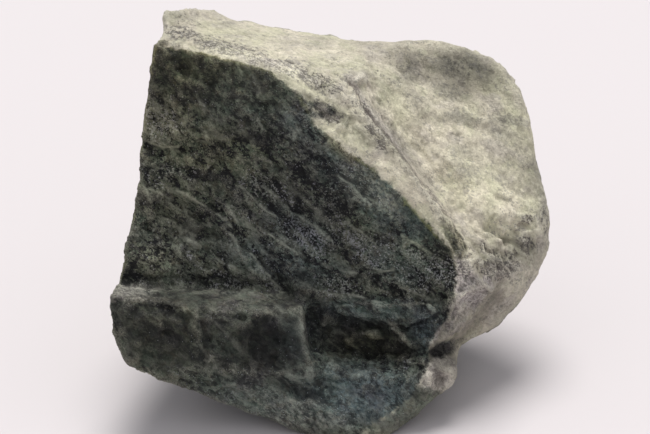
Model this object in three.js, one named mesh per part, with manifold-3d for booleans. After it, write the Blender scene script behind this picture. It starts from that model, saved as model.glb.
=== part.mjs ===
// Rough peridot: one hand-sized chunk broken from massive, fine-grained olivine rock.
// A single solid. Its broad faces are old fracture planes: a steep front face with a
// step (the ledge) and a hollow along its foot, a gently back-tilted top, a sharp ridge
// with a narrow bevel that runs down to the right, a rounded shoulder beyond the ridge,
// and a flat broken underside that it rests on.
// Millimetres, +Z up, origin at the centre of the footprint's bounding box, on the rest plane.
// +X runs along the front face to the right, +Y from the front face to the back.
import * as THREE from "three";
import { mergeVertices } from "three/addons/utils/BufferGeometryUtils.js";
import Module from "manifold-3d";

// ---- driving dimensions (mm)
const REST_PLANE = -22.7; // height of the flat underside below the cage's own origin
const SWELL = { wavelength: 11.0, amplitude: 0.3 }; // broad unevenness of the faces
const HACKLE = { wavelength: 4.2, amplitude: 0.2 }; // splintery mid-size relief
const GRAIN = { wavelength: 1.9, amplitude: 0.09 }; // coarse crystalline grain
// Flat-lying fractures that shape the back and the flanks under it. Each takes off what lies past it.
// bearing: compass direction the broken face looks to (deg, 0 = +Y, 90 = +X); tilt: above level (deg);
// distance: from the cage's origin (mm); hollow: how far its middle is scooped in or swells out (mm)
const BREAKS = [
  { bearing: 345, tilt: 0, distance: 23.5, hollow: 0.8 },
  { bearing: 30, tilt: -28, distance: 24.7, hollow: -0.7 },
  { bearing: 320, tilt: -36, distance: 24.3, hollow: 0.9 },
  { bearing: 2, tilt: 16, distance: 25.2, hollow: 0.4 },
  { bearing: 62, tilt: -38, distance: 26.7, hollow: -0.5 },
  { bearing: 290, tilt: -28, distance: 23.9, hollow: 0.5 },
];
const BREAK_RELIEF = [
  { wavelength: 8.5, amplitude: 0.45 },
  { wavelength: 3.4, amplitude: 0.2 },
]; // unevenness of those faces
const BREAK_STEP = 2.3; // spacing of the points on them
const ROUNDS = 2; // rounds of subdivision between the cage and the finished surface
const SEED = 7;

// ---- the cage: corner points (mm), triangles, and the edges that stay sharp (1) or soften (< 1)
const POINTS = [
  [-18.97, 14.45, 19.55], [-17.5, 16.14, 19.57], [-15.34, 18.56, 18.81], [-13.87, 19.08, 17.62],
  [-11.33, 20.88, 16.74], [-8, 22.59, 15.7], [-5.08, 23.01, 14.99], [-1.6, 22.87, 14.05],
  [2.54, 22.81, 13.93], [6.96, 21.44, 13.44], [10.19, 21.59, 13.73], [14.01, 22.33, 14.08],
  [17.93, 22.31, 12.96], [20.57, 21.71, 11.77], [22.44, 20.52, 10.54], [23.6, 18.43, 8.63],
  [24.75, 16.09, 6.25], [26.73, 13.93, 3.12], [27.8, 11.55, -0.45], [28.12, 9.62, -4.24],
  [28.05, 7.98, -7.46], [27.62, 6.98, -10.53], [25.76, 6.34, -13.98], [22.3, 4.74, -17.13],
  [18.78, 3.49, -17.38], [16.11, 0.15, -17.32], [15.5, -2.99, -16.88], [15.99, -5.86, -17],
  [15.17, -7.03, -18.21], [14, -8.07, -19.13], [12.02, -9.25, -20.37], [9.53, -10.63, -21.97],
  [7.1, -11.78, -23.12], [2.91, -13.24, -23.79], [-0.45, -12.33, -23.09], [-3.01, -11.64, -22.19],
  [-6.3, -10.96, -21.5], [-9.65, -10.46, -20.53], [-13.16, -10.22, -18.96], [-15.9, -10.21, -17.83],
  [-18.24, -10.23, -16.77], [-20.52, -10.39, -16], [-22.98, -10.28, -14.68], [-24.17, -9.87, -11.67],
  [-25.14, -9.36, -8.89], [-25.03, -8.44, -6.66], [-24.76, -6.92, -5.87], [-23.98, -4.39, -5.98],
  [-23.32, -2.75, -4.3], [-22.42, -0.78, -1.52], [-21.75, 0.62, 1.22], [-21.25, 2.03, 3.98],
  [-21.39, 3.39, 6.66], [-21.3, 4.65, 9.13], [-20.74, 6.11, 11.99], [-20.35, 7.11, 15.06],
  [-19.77, 7.57, 18.16], [-19.68, 8.97, 18.71], [-19.23, 10.46, 18.33], [-19.24, 12.4, 18.83],
  [-16.76, 6.86, 17.88], [-14.24, 6.39, 17.83], [-11.71, 5.72, 17.38], [-9.32, 5.27, 16.96],
  [-6.48, 4.91, 16.25], [-4.21, 4.19, 14.83], [-2.61, 3.36, 13.21], [-1.14, 2.49, 10.61],
  [0.8, 2.02, 8.82], [3.08, 1.52, 7.16], [5.71, 1.05, 5.36], [8.35, 0.27, 2.95],
  [10.65, -0.47, 0.62], [12.85, -1.26, -1.81], [14.92, -1.82, -3.58], [-16.6, 8.4, 18.46],
  [-13.96, 8.11, 18.34], [-11.55, 7.81, 17.97], [-8.8, 7.5, 17.36], [-5.61, 7.26, 16.46],
  [-2.86, 7.08, 15.67], [0, 7.03, 14.69], [2.87, 7.09, 13.91], [4.36, 6.05, 11.87],
  [6.08, 4.8, 9.41], [8.61, 3.23, 6.34], [11.83, 1.56, 3.07], [14.24, 0, 0], [16.07, -1.56, -3.07],
  [4.28, 8.73, 12.29], [5.11, 9.07, 10.75], [6.87, 8.89, 7.76], [9.46, 8.08, 4.4],
  [12.72, 6.2, 1.16], [15.1, 3.37, -1.32], [16.74, 0.06, -3.4], [4.3, 11.22, 13.21],
  [5.79, 16.55, 12.67], [14.71, -2.9, -6.13], [14.14, -3.98, -8.68], [13.23, -4.84, -10.83],
  [12.43, -5.75, -12.83], [12.07, -6.45, -13.75], [17.14, -1.92, -5.09], [17.41, -2.23, -7.02],
  [16.74, -2.82, -9.06], [15.72, -3.41, -11.1], [14.8, -4.08, -12.85], [13.76, -4.76, -14.19],
  [18.85, -1.14, -7.08], [20.59, 0.4, -8.04], [22.37, 2.58, -8.15], [24.3, 5.22, -7.82],
  [-2.62, -6.39, -8.14], [-2.31, -3.48, -9.48], [-21.24, -3.49, -6.85], [-18.99, -2.95, -7.54],
  [-15.8, -2.45, -7.68], [-12.81, -2.38, -7.98], [-9.81, -2.31, -8.28], [-6.81, -2.17, -8.23],
  [-4.27, -2.73, -9.1], [-22.59, -8.43, -5.97], [-20.22, -8.53, -6.18], [-17.97, -8.65, -6.63],
  [-15.49, -8.77, -7.08], [-12.56, -8.61, -7.42], [-9.29, -8.33, -7.97], [-5.8, -7.47, -8.06],
  [-2.4, -7.55, -10.62], [-2.17, -8.41, -12.76], [-1.37, -9.06, -14.48], [-1.97, -2.78, -11.19],
  [-1.86, -3.38, -13.24], [-1.62, -4.5, -15], [-20.16, -10.15, -14.64], [-18.01, -10.03, -14.84],
  [-15.16, -9.74, -14.49], [-12.2, -9.7, -14.64], [-9.13, -9.53, -14.74], [-6.28, -9.62, -15.35],
  [-3.65, -9.51, -15.15], [0.57, -8.65, -14.99], [2.87, -8.2, -14.99], [5.73, -8.27, -15.35],
  [8.6, -8.08, -15.19], [10.66, -8.25, -15.09], [12.38, -7.78, -14.17], [0.58, -3.93, -15.87],
  [3.14, -3.6, -16.32], [5.94, -3.6, -16.32], [8.72, -3.76, -15.97], [10.78, -4.55, -15.11],
  [-0.35, -2.17, -10.87], [2.32, -1.75, -10.7], [5.45, -2, -10.96], [8.46, -2.31, -10.92],
  [11.21, -3.22, -10.95], [-0.35, -3.2, -9.37], [2.31, -2.96, -9.11], [5.42, -3.24, -9.22],
  [8.41, -3.47, -9.23], [11.39, -4.03, -9.44], [12.97, -4.68, -14.9], [13.3, -5.23, -15.12],
  [14.28, -4.19, -15.72], [12.15, -8.53, -15.86], [11.01, -9.22, -17.44], [9.06, -9.92, -19.03],
  [6.88, -10.92, -20.56], [4.69, -12.1, -21.98], [-14.31, 4.43, 10.46], [-7.2, 3.37, 9.7],
  [-11.13, 2.96, 6.47], [-3.43, 2.17, 6.47], [-15.51, 2.09, 3.45], [-8.04, 1.48, 2.47],
  [-4.25, 1.3, 2.56], [-11.86, 0.56, -0.67], [-0.57, -0.29, -1.01], [6.77, -0.94, -1.19],
  [-16.45, -1.08, -3.45], [-8.87, -0.96, -4.3], [2.18, -1.59, -4.22], [9.53, -2.36, -4.85],
  [0.34, 3.95, 11.94], [2.86, 3.43, 10.04], [5.38, 2.71, 7.74], [8.13, 1.63, 4.95],
  [10.89, 0.54, 2.17], [-16.26, 13.1, 18.22], [-13.14, 13.26, 17.65], [-9.89, 13.02, 16.74],
  [-6.41, 13.25, 15.88], [-2.92, 13.3, 15.1], [0.58, 13.06, 14.19], [-0.59, 18.12, 13.54],
  [11.25, 15.74, 10.19], [18.44, 16.05, 7.71], [14.68, 9.84, 4.34], [17.68, 7.1, 0.72],
  [20.45, 4.46, -2.93], [16.25, -1.18, -14.22], [-15.64, -5.66, -7.37], [-12.68, -5.59, -7.67],
  [-9.49, -5.43, -8.01], [0.12, -2.79, -12.51], [2.9, -2.42, -12.46], [5.92, -2.61, -12.61],
  [8.93, -2.96, -12.42], [11.43, -4.22, -12.24], [0.58, -3.37, -14.32], [3.61, -3.02, -14.52],
  [6.63, -3.02, -14.52], [9.4, -3.45, -14.27], [13.93, -7.2, -16.11], [13.24, -7.91, -17.29],
  [-11, 2, -23], [-8.5, -3.5, -23], [-4, -8, -23], [2.5, -11.2, -23], [7.5, -7.5, -23],
  [11.5, -1.5, -23], [14.5, 5, -23], [14, 12, -23], [8.5, 17.5, -23], [1.5, 19.5, -23],
  [-5.5, 17.5, -23], [-11.5, 12.5, -23], [-13, 7, -23], [-1.2, 25.4, 8], [0.6, 27.3, 2],
  [2, 28.2, -4], [2.6, 27.2, -10.5], [2.4, 24, -17], [-18, 16.2, 14.5], [-18.6, 17.2, 7],
  [-19, 17.6, -1], [-18.4, 17.8, -8], [-15.8, 16.2, -15.5], [24, 18.2, 2.5], [24, 18, -4],
  [22.4, 16.6, -11], [18.8, 14.8, -17], [-23.8, -3.2, -9.2], [-23.2, 1.8, -11.4], [-21.8, 7, -12.6],
  [-19.6, 12.6, -11.6], [-12.6, 21.8, -9.4], [-5.6, 25.2, -10.4], [10, 25, -11], [17, 21, -11.4],
  [-20.8, 11, -2], [-22, 5, -2.8], [-22.2, 1, -3.4], [-10, 22.6, 7], [-14.8, 20.4, 0],
  [-6, 24.6, -1], [8.4, 25.2, 4], [17, 23, 3.6], [9, 26, -4], [17.5, 22.6, -4.4], [-19.8, 11.6, 9.5],
  [-20.6, 12, 3], [-20.9, 6.5, 5], [-20.5, 2, -14.6], [-18.5, -3, -15.5], [-17, -6, -16.2],
  [-21.4, -5, -12.8], [-17, 6, -17.6], [-14.6, 1, -19.6], [-12.4, -5, -19.8], [-7.5, -8.2, -21.2],
  [-8, 20, -16], [10.5, 21, -16.8], [20.8, 10.4, -15.4], [18.2, 7, -18.4], [24.6, 14, -6],
  [15.4, 2.5, -19.8], [12.4, -4.6, -20.6], [14.4, -3.6, -18.9], [25.6, 12, -8.4], [21.8, 8.6, -15],
  [0, 6, -23], [5, 12, -23], [-5, 11, -23], [5, 3, -23], [-4, 0, -23], [-18.19, 13.99, 19.1],
];
const TRIANGLES = [
  [80, 66, 81], [176, 178, 182], [111, 22, 21], [92, 197, 91], [158, 183, 114], [89, 96, 82],
  [113, 129, 132], [102, 147, 163], [55, 60, 56], [94, 93, 87], [3, 190, 191], [130, 141, 131],
  [85, 188, 86], [3, 2, 190], [144, 169, 168], [13, 12, 198], [123, 124, 116], [189, 72, 87],
  [76, 75, 61], [211, 148, 149], [23, 109, 105], [209, 213, 214], [77, 62, 63], [109, 111, 103],
  [191, 190, 76], [160, 184, 183], [49, 48, 181], [109, 104, 105], [136, 137, 125], [186, 68, 69],
  [66, 185, 81], [66, 65, 172], [145, 168, 167], [81, 195, 80], [214, 213, 151], [61, 62, 76],
  [109, 110, 111], [92, 93, 199], [105, 99, 106], [84, 90, 83], [105, 104, 98], [77, 4, 191],
  [63, 171, 172], [100, 99, 162], [177, 179, 69], [29, 28, 216], [102, 152, 147], [142, 143, 148],
  [85, 91, 84], [183, 179, 121], [7, 6, 194], [31, 30, 168], [89, 82, 83], [77, 63, 78],
  [187, 186, 69], [155, 160, 154], [103, 74, 98], [91, 90, 84], [172, 64, 63], [61, 60, 171],
  [114, 113, 132], [213, 212, 150], [70, 179, 180], [119, 182, 118], [161, 160, 155],
  [206, 153, 132], [137, 39, 138], [165, 25, 108], [17, 200, 18], [125, 204, 203], [115, 48, 47],
  [35, 34, 142], [205, 119, 204], [83, 185, 186], [23, 105, 24], [199, 17, 16], [73, 184, 74],
  [83, 90, 89], [176, 174, 172], [205, 204, 126], [121, 120, 128], [80, 196, 194], [177, 176, 182],
  [167, 29, 216], [199, 93, 200], [116, 124, 203], [134, 148, 211], [95, 88, 103], [35, 141, 36],
  [138, 127, 126], [146, 145, 167], [114, 183, 121], [87, 88, 95], [170, 33, 32], [49, 181, 50],
  [97, 10, 9], [216, 166, 167], [103, 88, 74], [162, 184, 161], [128, 120, 205], [126, 127, 205],
  [154, 207, 155], [151, 152, 214], [98, 184, 162], [215, 166, 216], [150, 149, 144], [107, 25, 202],
  [86, 189, 87], [97, 96, 89], [211, 207, 206], [133, 129, 130], [199, 200, 17], [96, 8, 195],
  [78, 192, 77], [182, 178, 181], [115, 122, 123], [191, 4, 3], [81, 82, 195], [87, 95, 94],
  [74, 184, 98], [140, 129, 128], [101, 210, 152], [167, 166, 146], [171, 60, 55], [128, 139, 140],
  [132, 153, 114], [147, 164, 163], [205, 127, 128], [149, 143, 144], [71, 72, 189], [20, 19, 201],
  [212, 149, 150], [162, 99, 98], [23, 110, 109], [52, 51, 175], [208, 209, 156], [79, 64, 65],
  [26, 25, 165], [120, 179, 182], [114, 153, 158], [158, 159, 183], [146, 166, 147], [208, 207, 212],
  [111, 110, 22], [215, 27, 26], [82, 185, 83], [215, 164, 147], [9, 8, 97], [105, 106, 24],
  [15, 198, 16], [132, 129, 133], [204, 119, 118], [73, 88, 87], [198, 12, 197], [208, 212, 213],
  [69, 179, 70], [61, 171, 62], [128, 129, 113], [113, 121, 128], [91, 197, 90], [212, 207, 211],
  [162, 161, 156], [163, 164, 108], [59, 58, 75], [94, 95, 201], [107, 101, 108], [157, 162, 156],
  [86, 92, 85], [126, 204, 125], [196, 8, 7], [107, 106, 100], [55, 54, 171], [202, 106, 107],
  [182, 179, 177], [198, 197, 199], [180, 179, 183], [111, 21, 112], [111, 201, 103], [199, 197, 92],
  [75, 60, 61], [90, 97, 89], [57, 60, 75], [67, 185, 66], [78, 5, 192], [84, 186, 187],
  [144, 145, 150], [135, 42, 41], [192, 4, 77], [205, 120, 119], [177, 174, 176], [131, 148, 134],
  [135, 41, 136], [75, 58, 57], [71, 189, 86], [151, 213, 150], [136, 41, 40], [36, 141, 140],
  [178, 173, 175], [13, 198, 14], [131, 35, 142], [71, 70, 180], [100, 162, 157], [126, 137, 138],
  [181, 48, 115], [24, 106, 202], [82, 96, 195], [209, 157, 156], [140, 141, 130], [122, 45, 44],
  [216, 28, 215], [181, 178, 175], [80, 65, 66], [76, 190, 75], [125, 137, 126], [206, 207, 154],
  [123, 43, 124], [22, 110, 23], [98, 99, 105], [114, 121, 113], [157, 210, 100], [169, 31, 168],
  [161, 184, 160], [47, 46, 122], [69, 174, 177], [50, 181, 175], [101, 152, 102], [6, 5, 193],
  [163, 101, 102], [160, 159, 154], [119, 120, 182], [140, 37, 36], [40, 39, 136], [180, 72, 71],
  [161, 155, 156], [200, 93, 94], [165, 164, 215], [69, 70, 187], [154, 159, 158], [108, 25, 107],
  [57, 56, 60], [144, 168, 145], [202, 25, 24], [79, 193, 78], [209, 210, 157], [136, 124, 135],
  [78, 64, 79], [192, 5, 4], [74, 88, 73], [170, 169, 143], [112, 20, 201], [85, 92, 91],
  [116, 117, 181], [142, 34, 170], [175, 171, 52], [147, 152, 146], [83, 186, 84], [87, 72, 73],
  [183, 159, 160], [187, 70, 85], [186, 185, 68], [131, 141, 35], [203, 124, 125], [215, 26, 165],
  [124, 43, 135], [80, 194, 79], [67, 174, 68], [211, 133, 134], [143, 169, 144], [133, 130, 134],
  [133, 206, 132], [68, 185, 67], [106, 99, 100], [72, 184, 73], [122, 44, 123], [136, 39, 137],
  [103, 104, 109], [100, 210, 101], [170, 32, 169], [171, 173, 172], [90, 197, 97], [97, 8, 96],
  [171, 54, 53], [167, 30, 29], [148, 143, 149], [138, 139, 127], [47, 122, 115], [194, 193, 79],
  [123, 44, 43], [204, 118, 203], [215, 28, 27], [112, 201, 111], [38, 139, 138], [193, 5, 78],
  [63, 64, 78], [172, 67, 66], [43, 42, 135], [169, 32, 31], [154, 153, 206], [21, 20, 112],
  [75, 190, 59], [172, 174, 67], [34, 33, 170], [183, 184, 180], [156, 155, 208], [62, 171, 63],
  [201, 200, 94], [151, 145, 146], [140, 139, 37], [142, 148, 131], [14, 198, 15], [125, 124, 136],
  [188, 70, 71], [195, 8, 196], [175, 51, 50], [181, 117, 118], [150, 145, 151], [138, 39, 38],
  [81, 185, 82], [211, 149, 212], [155, 207, 208], [203, 117, 116], [194, 6, 193], [76, 62, 77],
  [116, 115, 123], [134, 130, 131], [176, 173, 178], [211, 206, 133], [86, 188, 71], [108, 101, 163],
  [98, 104, 103], [68, 174, 69], [208, 213, 209], [11, 10, 197], [190, 2, 1], [195, 196, 80],
  [201, 95, 103], [79, 65, 80], [146, 152, 151], [121, 179, 120], [46, 45, 122], [158, 153, 154],
  [201, 19, 18], [118, 117, 203], [127, 139, 128], [197, 12, 11], [87, 93, 86], [130, 129, 140],
  [175, 173, 171], [65, 64, 172], [16, 198, 199], [107, 100, 101], [77, 191, 76], [108, 164, 165],
  [86, 93, 92], [172, 173, 176], [52, 171, 53], [152, 210, 214], [118, 182, 181], [168, 30, 167],
  [197, 10, 97], [170, 143, 142], [214, 210, 209], [84, 187, 85], [18, 200, 201], [116, 181, 115],
  [85, 70, 188], [147, 166, 215], [194, 196, 7], [180, 184, 72], [37, 139, 38], [1, 0, 288],
  [288, 0, 59], [190, 1, 288], [190, 288, 59], [38, 271, 37], [7, 8, 230], [286, 284, 225],
  [269, 228, 270], [277, 18, 19], [286, 224, 222], [234, 249, 233], [5, 6, 255], [269, 246, 239],
  [281, 277, 19], [248, 237, 256], [264, 51, 52], [266, 269, 270], [266, 267, 41], [255, 257, 256],
  [275, 23, 243], [248, 239, 238], [265, 245, 246], [239, 247, 238], [8, 231, 230], [281, 21, 242],
  [286, 222, 221], [242, 275, 243], [231, 232, 257], [267, 40, 41], [235, 0, 1], [222, 279, 30],
  [252, 51, 237], [56, 57, 235], [277, 281, 242], [239, 248, 273], [4, 5, 255], [219, 220, 35],
  [257, 255, 230], [259, 258, 11], [13, 259, 12], [51, 252, 50], [249, 234, 273], [231, 8, 258],
  [22, 275, 242], [237, 248, 238], [271, 217, 37], [253, 247, 254], [282, 275, 22], [245, 244, 46],
  [47, 245, 46], [260, 258, 259], [58, 59, 235], [3, 235, 2], [25, 278, 224], [35, 220, 34],
  [218, 219, 36], [260, 232, 258], [247, 246, 48], [224, 286, 225], [274, 224, 225], [51, 264, 237],
  [251, 250, 261], [279, 29, 30], [283, 219, 287], [20, 281, 19], [27, 280, 223], [285, 283, 287],
  [8, 9, 258], [284, 226, 225], [271, 39, 270], [240, 15, 16], [226, 285, 227], [265, 268, 44],
  [12, 259, 11], [280, 27, 28], [268, 43, 44], [223, 279, 222], [234, 274, 225], [240, 241, 261],
  [250, 274, 234], [15, 240, 259], [218, 217, 287], [21, 281, 20], [247, 253, 238], [266, 41, 42],
  [218, 272, 37], [228, 229, 270], [258, 10, 11], [49, 254, 48], [242, 241, 277], [23, 282, 22],
  [251, 242, 243], [235, 1, 2], [267, 266, 270], [29, 280, 28], [265, 266, 268], [255, 236, 235],
  [251, 274, 250], [43, 268, 42], [57, 58, 235], [53, 262, 236], [255, 6, 230], [55, 56, 235],
  [24, 276, 23], [284, 283, 226], [54, 262, 53], [220, 221, 32], [13, 14, 259], [280, 279, 223],
  [262, 54, 55], [252, 253, 50], [236, 255, 256], [221, 31, 32], [217, 218, 37], [276, 25, 224],
  [263, 264, 52], [244, 44, 45], [257, 248, 256], [248, 249, 273], [279, 280, 29], [244, 245, 44],
  [278, 25, 26], [4, 255, 235], [268, 266, 42], [40, 267, 39], [276, 224, 243], [232, 260, 233],
  [220, 286, 221], [273, 226, 227], [240, 17, 241], [228, 269, 239], [21, 22, 242], [283, 286, 220],
  [3, 4, 235], [265, 246, 269], [266, 265, 269], [246, 47, 48], [217, 285, 287], [232, 249, 257],
  [220, 32, 33], [285, 228, 227], [252, 237, 238], [39, 267, 270], [228, 273, 227], [253, 49, 50],
  [53, 263, 52], [250, 234, 233], [241, 251, 261], [9, 10, 258], [17, 240, 16], [17, 18, 241],
  [263, 53, 236], [219, 218, 287], [253, 252, 238], [231, 257, 230], [236, 55, 235], [223, 278, 26],
  [34, 220, 33], [259, 240, 261], [284, 286, 283], [24, 25, 276], [46, 244, 45], [283, 285, 226],
  [241, 242, 251], [14, 15, 259], [254, 247, 48], [272, 36, 37], [246, 247, 239], [264, 263, 237],
  [228, 239, 273], [278, 223, 224], [262, 55, 236], [237, 236, 256], [232, 231, 258], [271, 38, 39],
  [271, 229, 217], [0, 235, 59], [229, 228, 217], [234, 226, 273], [221, 222, 31], [229, 271, 270],
  [228, 285, 217], [224, 274, 243], [6, 7, 230], [237, 263, 236], [249, 248, 257], [31, 222, 30],
  [27, 223, 26], [275, 282, 23], [49, 253, 254], [220, 219, 283], [224, 223, 222], [245, 47, 246],
  [18, 277, 241], [260, 259, 261], [249, 232, 233], [218, 36, 272], [250, 260, 261], [23, 276, 243],
  [35, 36, 219], [226, 234, 225], [245, 265, 44], [260, 250, 233], [274, 251, 243],
];
const EDGES = [
  [0, 1, 1], [1, 2, 1], [2, 3, 1], [3, 4, 1], [4, 5, 0.5], [5, 6, 0.5], [6, 7, 0.5], [7, 8, 0.5],
  [8, 9, 0.5], [9, 10, 0.5], [10, 11, 0.5], [11, 12, 0.5], [12, 13, 0.5], [13, 14, 0.5],
  [14, 15, 0.5], [15, 16, 0.5], [16, 17, 0.5], [30, 31, 0.5], [31, 32, 0.5], [32, 33, 0.5],
  [33, 34, 0.5], [34, 35, 0.5], [35, 36, 0.5], [36, 37, 0.5], [37, 38, 0.5], [38, 39, 0.5],
  [39, 40, 0.5], [40, 41, 0.5], [41, 42, 0.5], [42, 43, 0.5], [43, 44, 0.5], [44, 45, 0.5],
  [45, 46, 1], [46, 47, 1], [47, 48, 1], [48, 49, 1], [49, 50, 1], [50, 51, 1], [51, 52, 1],
  [52, 53, 1], [53, 54, 1], [54, 55, 1], [55, 56, 1], [56, 57, 1], [57, 58, 1], [58, 59, 1],
  [0, 59, 1], [56, 60, 1], [60, 61, 1], [61, 62, 1], [62, 63, 1], [63, 64, 1], [64, 65, 1],
  [65, 66, 1], [66, 67, 1], [67, 68, 1], [68, 69, 1], [69, 70, 1], [70, 71, 1], [71, 72, 1],
  [72, 73, 1], [73, 74, 1], [57, 75, 0.5], [75, 76, 0.5], [76, 77, 0.5], [77, 78, 0.5],
  [78, 79, 0.5], [79, 80, 0.5], [80, 81, 0.5], [81, 82, 0.5], [82, 83, 1], [83, 84, 1], [84, 85, 1],
  [85, 86, 1], [86, 87, 1], [87, 88, 1], [82, 96, 0.5], [96, 97, 0.5], [9, 97, 0.5], [74, 98, 1],
  [98, 99, 1], [99, 100, 1], [100, 101, 1], [101, 102, 1], [88, 103, 1], [103, 104, 1],
  [104, 105, 1], [105, 106, 1], [106, 107, 1], [107, 108, 1], [103, 109, 0.5], [109, 110, 0.5],
  [110, 111, 0.5], [111, 112, 0.5], [20, 112, 0.5], [113, 114, 1], [47, 115, 1], [115, 116, 1],
  [116, 117, 1], [117, 118, 1], [118, 119, 1], [119, 120, 1], [120, 121, 1], [114, 121, 1],
  [45, 122, 0.5], [122, 123, 0.5], [123, 124, 0.5], [124, 125, 0.5], [125, 126, 0.5],
  [126, 127, 0.5], [127, 128, 0.5], [113, 128, 0.5], [113, 129, 1], [129, 130, 1], [130, 131, 1],
  [114, 132, 1], [132, 133, 1], [133, 134, 1], [131, 134, 1], [42, 135, 0.5], [135, 136, 0.5],
  [136, 137, 0.5], [137, 138, 0.5], [138, 139, 0.5], [139, 140, 0.5], [140, 141, 0.5],
  [131, 141, 0.5], [134, 148, 0.3], [148, 149, 0.3], [149, 150, 0.3], [150, 151, 0.3],
  [151, 152, 0.3], [102, 152, 0.3], [132, 153, 0.5], [153, 154, 0.5], [154, 155, 0.5],
  [155, 156, 0.5], [156, 157, 0.5], [114, 158, 1], [158, 159, 1], [159, 160, 1], [160, 161, 1],
  [161, 162, 1], [99, 162, 1], [147, 166, 1], [166, 167, 1], [167, 168, 1], [168, 169, 1],
  [169, 170, 1], [33, 170, 1], [217, 218, 1], [218, 219, 1], [219, 220, 1], [220, 221, 1],
  [221, 222, 1], [222, 223, 1], [223, 224, 1], [224, 225, 1], [225, 226, 1], [226, 227, 1],
  [227, 228, 1], [228, 229, 1], [217, 229, 1], [7, 230, 1], [230, 231, 1], [231, 232, 1],
  [232, 233, 1], [233, 234, 1], [226, 234, 1], [0, 235, 1], [235, 236, 1], [236, 237, 1],
  [237, 238, 1], [238, 239, 1], [228, 239, 1], [15, 240, 1], [240, 241, 1], [241, 242, 1],
  [242, 243, 1], [224, 243, 1], [44, 244, 0.5], [244, 245, 0.5], [245, 246, 0.5], [246, 247, 0.5],
  [238, 247, 0.5], [238, 248, 0.5], [248, 249, 0.5], [233, 249, 0.5], [233, 250, 0.5],
  [250, 251, 0.5], [242, 251, 0.5], [237, 252, 0.5], [252, 253, 0.5], [253, 254, 0.5],
  [48, 254, 0.5],
];

// ---- smooth noise on a lattice, from -1 to 1
function lattice(i, j, k, seed) {
  let h = Math.imul(i, 374761393) ^ Math.imul(j, 668265263) ^ Math.imul(k, 2147483647) ^ Math.imul(seed, 1274126177);
  h = Math.imul(h ^ (h >>> 13), 1274126177);
  h = Math.imul(h ^ (h >>> 15), 2246822519);
  return ((h ^ (h >>> 16)) >>> 0) / 2147483647.5 - 1;
}
const ease = (t) => t * t * t * (t * (t * 6 - 15) + 10);
function noise(x, y, z, seed) {
  const i = Math.floor(x), j = Math.floor(y), k = Math.floor(z);
  const u = ease(x - i), v = ease(y - j), w = ease(z - k);
  const mix = (a, b, t) => a + (b - a) * t;
  const row = (dj, dk) => mix(lattice(i, j + dj, k + dk, seed), lattice(i + 1, j + dj, k + dk, seed), u);
  return mix(mix(row(0, 0), row(1, 0), v), mix(row(0, 1), row(1, 1), v), w);
}

// ---- Loop subdivision that keeps the named edges
const edgeKey = (a, b) => (a < b ? a * 65536 + b : b * 65536 + a);
function subdivide({ points, triangles, sharp }, keep) {
  const edges = new Map(); // key -> { a, b, opposite: [], s }
  for (const t of triangles)
    for (let n = 0; n < 3; n++) {
      const a = t[n], b = t[(n + 1) % 3], c = t[(n + 2) % 3], key = edgeKey(a, b);
      if (!edges.has(key)) edges.set(key, { a, b, opposite: [], s: sharp.get(key) ?? 0 });
      edges.get(key).opposite.push(c);
    }
  const round = points.map(() => []), ridge = points.map(() => []);
  for (const e of edges.values()) {
    round[e.a].push(e.b);
    round[e.b].push(e.a);
    if (e.s > 0) {
      ridge[e.a].push([e.b, e.s]);
      ridge[e.b].push([e.a, e.s]);
    }
  }
  const moved = points.map((p, i) => {
    const n = round[i].length, beta = n === 3 ? 3 / 16 : 3 / (8 * n);
    const soft = p.clone().multiplyScalar(1 - n * beta);
    for (const j of round[i]) soft.addScaledVector(points[j], beta);
    const r = ridge[i];
    if (r.length < 2) return soft;
    const s = Math.min(1, r.reduce((sum, [, v]) => sum + v, 0) / r.length);
    const hard = p.clone();
    if (r.length === 2)
      hard.multiplyScalar(0.75).addScaledVector(points[r[0][0]], 0.125).addScaledVector(points[r[1][0]], 0.125);
    return soft.lerp(hard, s);
  });
  const middle = new Map(), nextSharp = new Map();
  for (const [key, e] of edges) {
    const hard = points[e.a].clone().add(points[e.b]).multiplyScalar(0.5);
    const soft = points[e.a].clone().add(points[e.b]).multiplyScalar(0.375)
      .addScaledVector(points[e.opposite[0]], 0.125).addScaledVector(points[e.opposite[1]], 0.125);
    moved.push(soft.lerp(hard, Math.min(1, e.s)));
    const m = moved.length - 1;
    middle.set(key, m);
    if (e.s > 0) {
      nextSharp.set(edgeKey(e.a, m), e.s * keep(e.s));
      nextSharp.set(edgeKey(e.b, m), e.s * keep(e.s));
    }
  }
  const next = [];
  for (const [a, b, c] of triangles) {
    const ab = middle.get(edgeKey(a, b)), bc = middle.get(edgeKey(b, c)), ca = middle.get(edgeKey(c, a));
    next.push([a, ab, ca], [b, bc, ab], [c, ca, bc], [ab, bc, ca]);
  }
  return { points: moved, triangles: next, sharp: nextSharp };
}

// ---- outward normals at the vertices
function normals(points, triangles) {
  const out = points.map(() => new THREE.Vector3());
  for (const [a, b, c] of triangles) {
    const n = points[b].clone().sub(points[a]).cross(points[c].clone().sub(points[a]));
    for (const i of [a, b, c]) out[i].add(n);
  }
  return out.map((n) => n.normalize());
}

function rockSurface() {
  let mesh = {
    points: POINTS.map(([x, y, z]) => new THREE.Vector3(x, y, z)),
    triangles: TRIANGLES,
    sharp: new Map(EDGES.map(([a, b, s]) => [edgeKey(a, b), s])),
  };
  for (let n = 0; n < ROUNDS; n++) mesh = subdivide(mesh, (s) => (s >= 1 ? 1 : 0.5));
  const out = normals(mesh.points, mesh.triangles);
  mesh.points = mesh.points.map((p, i) => {
    let d = 0;
    [SWELL, HACKLE, GRAIN].forEach(({ wavelength, amplitude }, k) => {
      d += amplitude * noise(p.x / wavelength + 31.7 * k, p.y / wavelength + 11.3 * k, p.z / wavelength, SEED + k);
    });
    return p.clone().addScaledVector(out[i], d);
  });
  return mesh;
}

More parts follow.
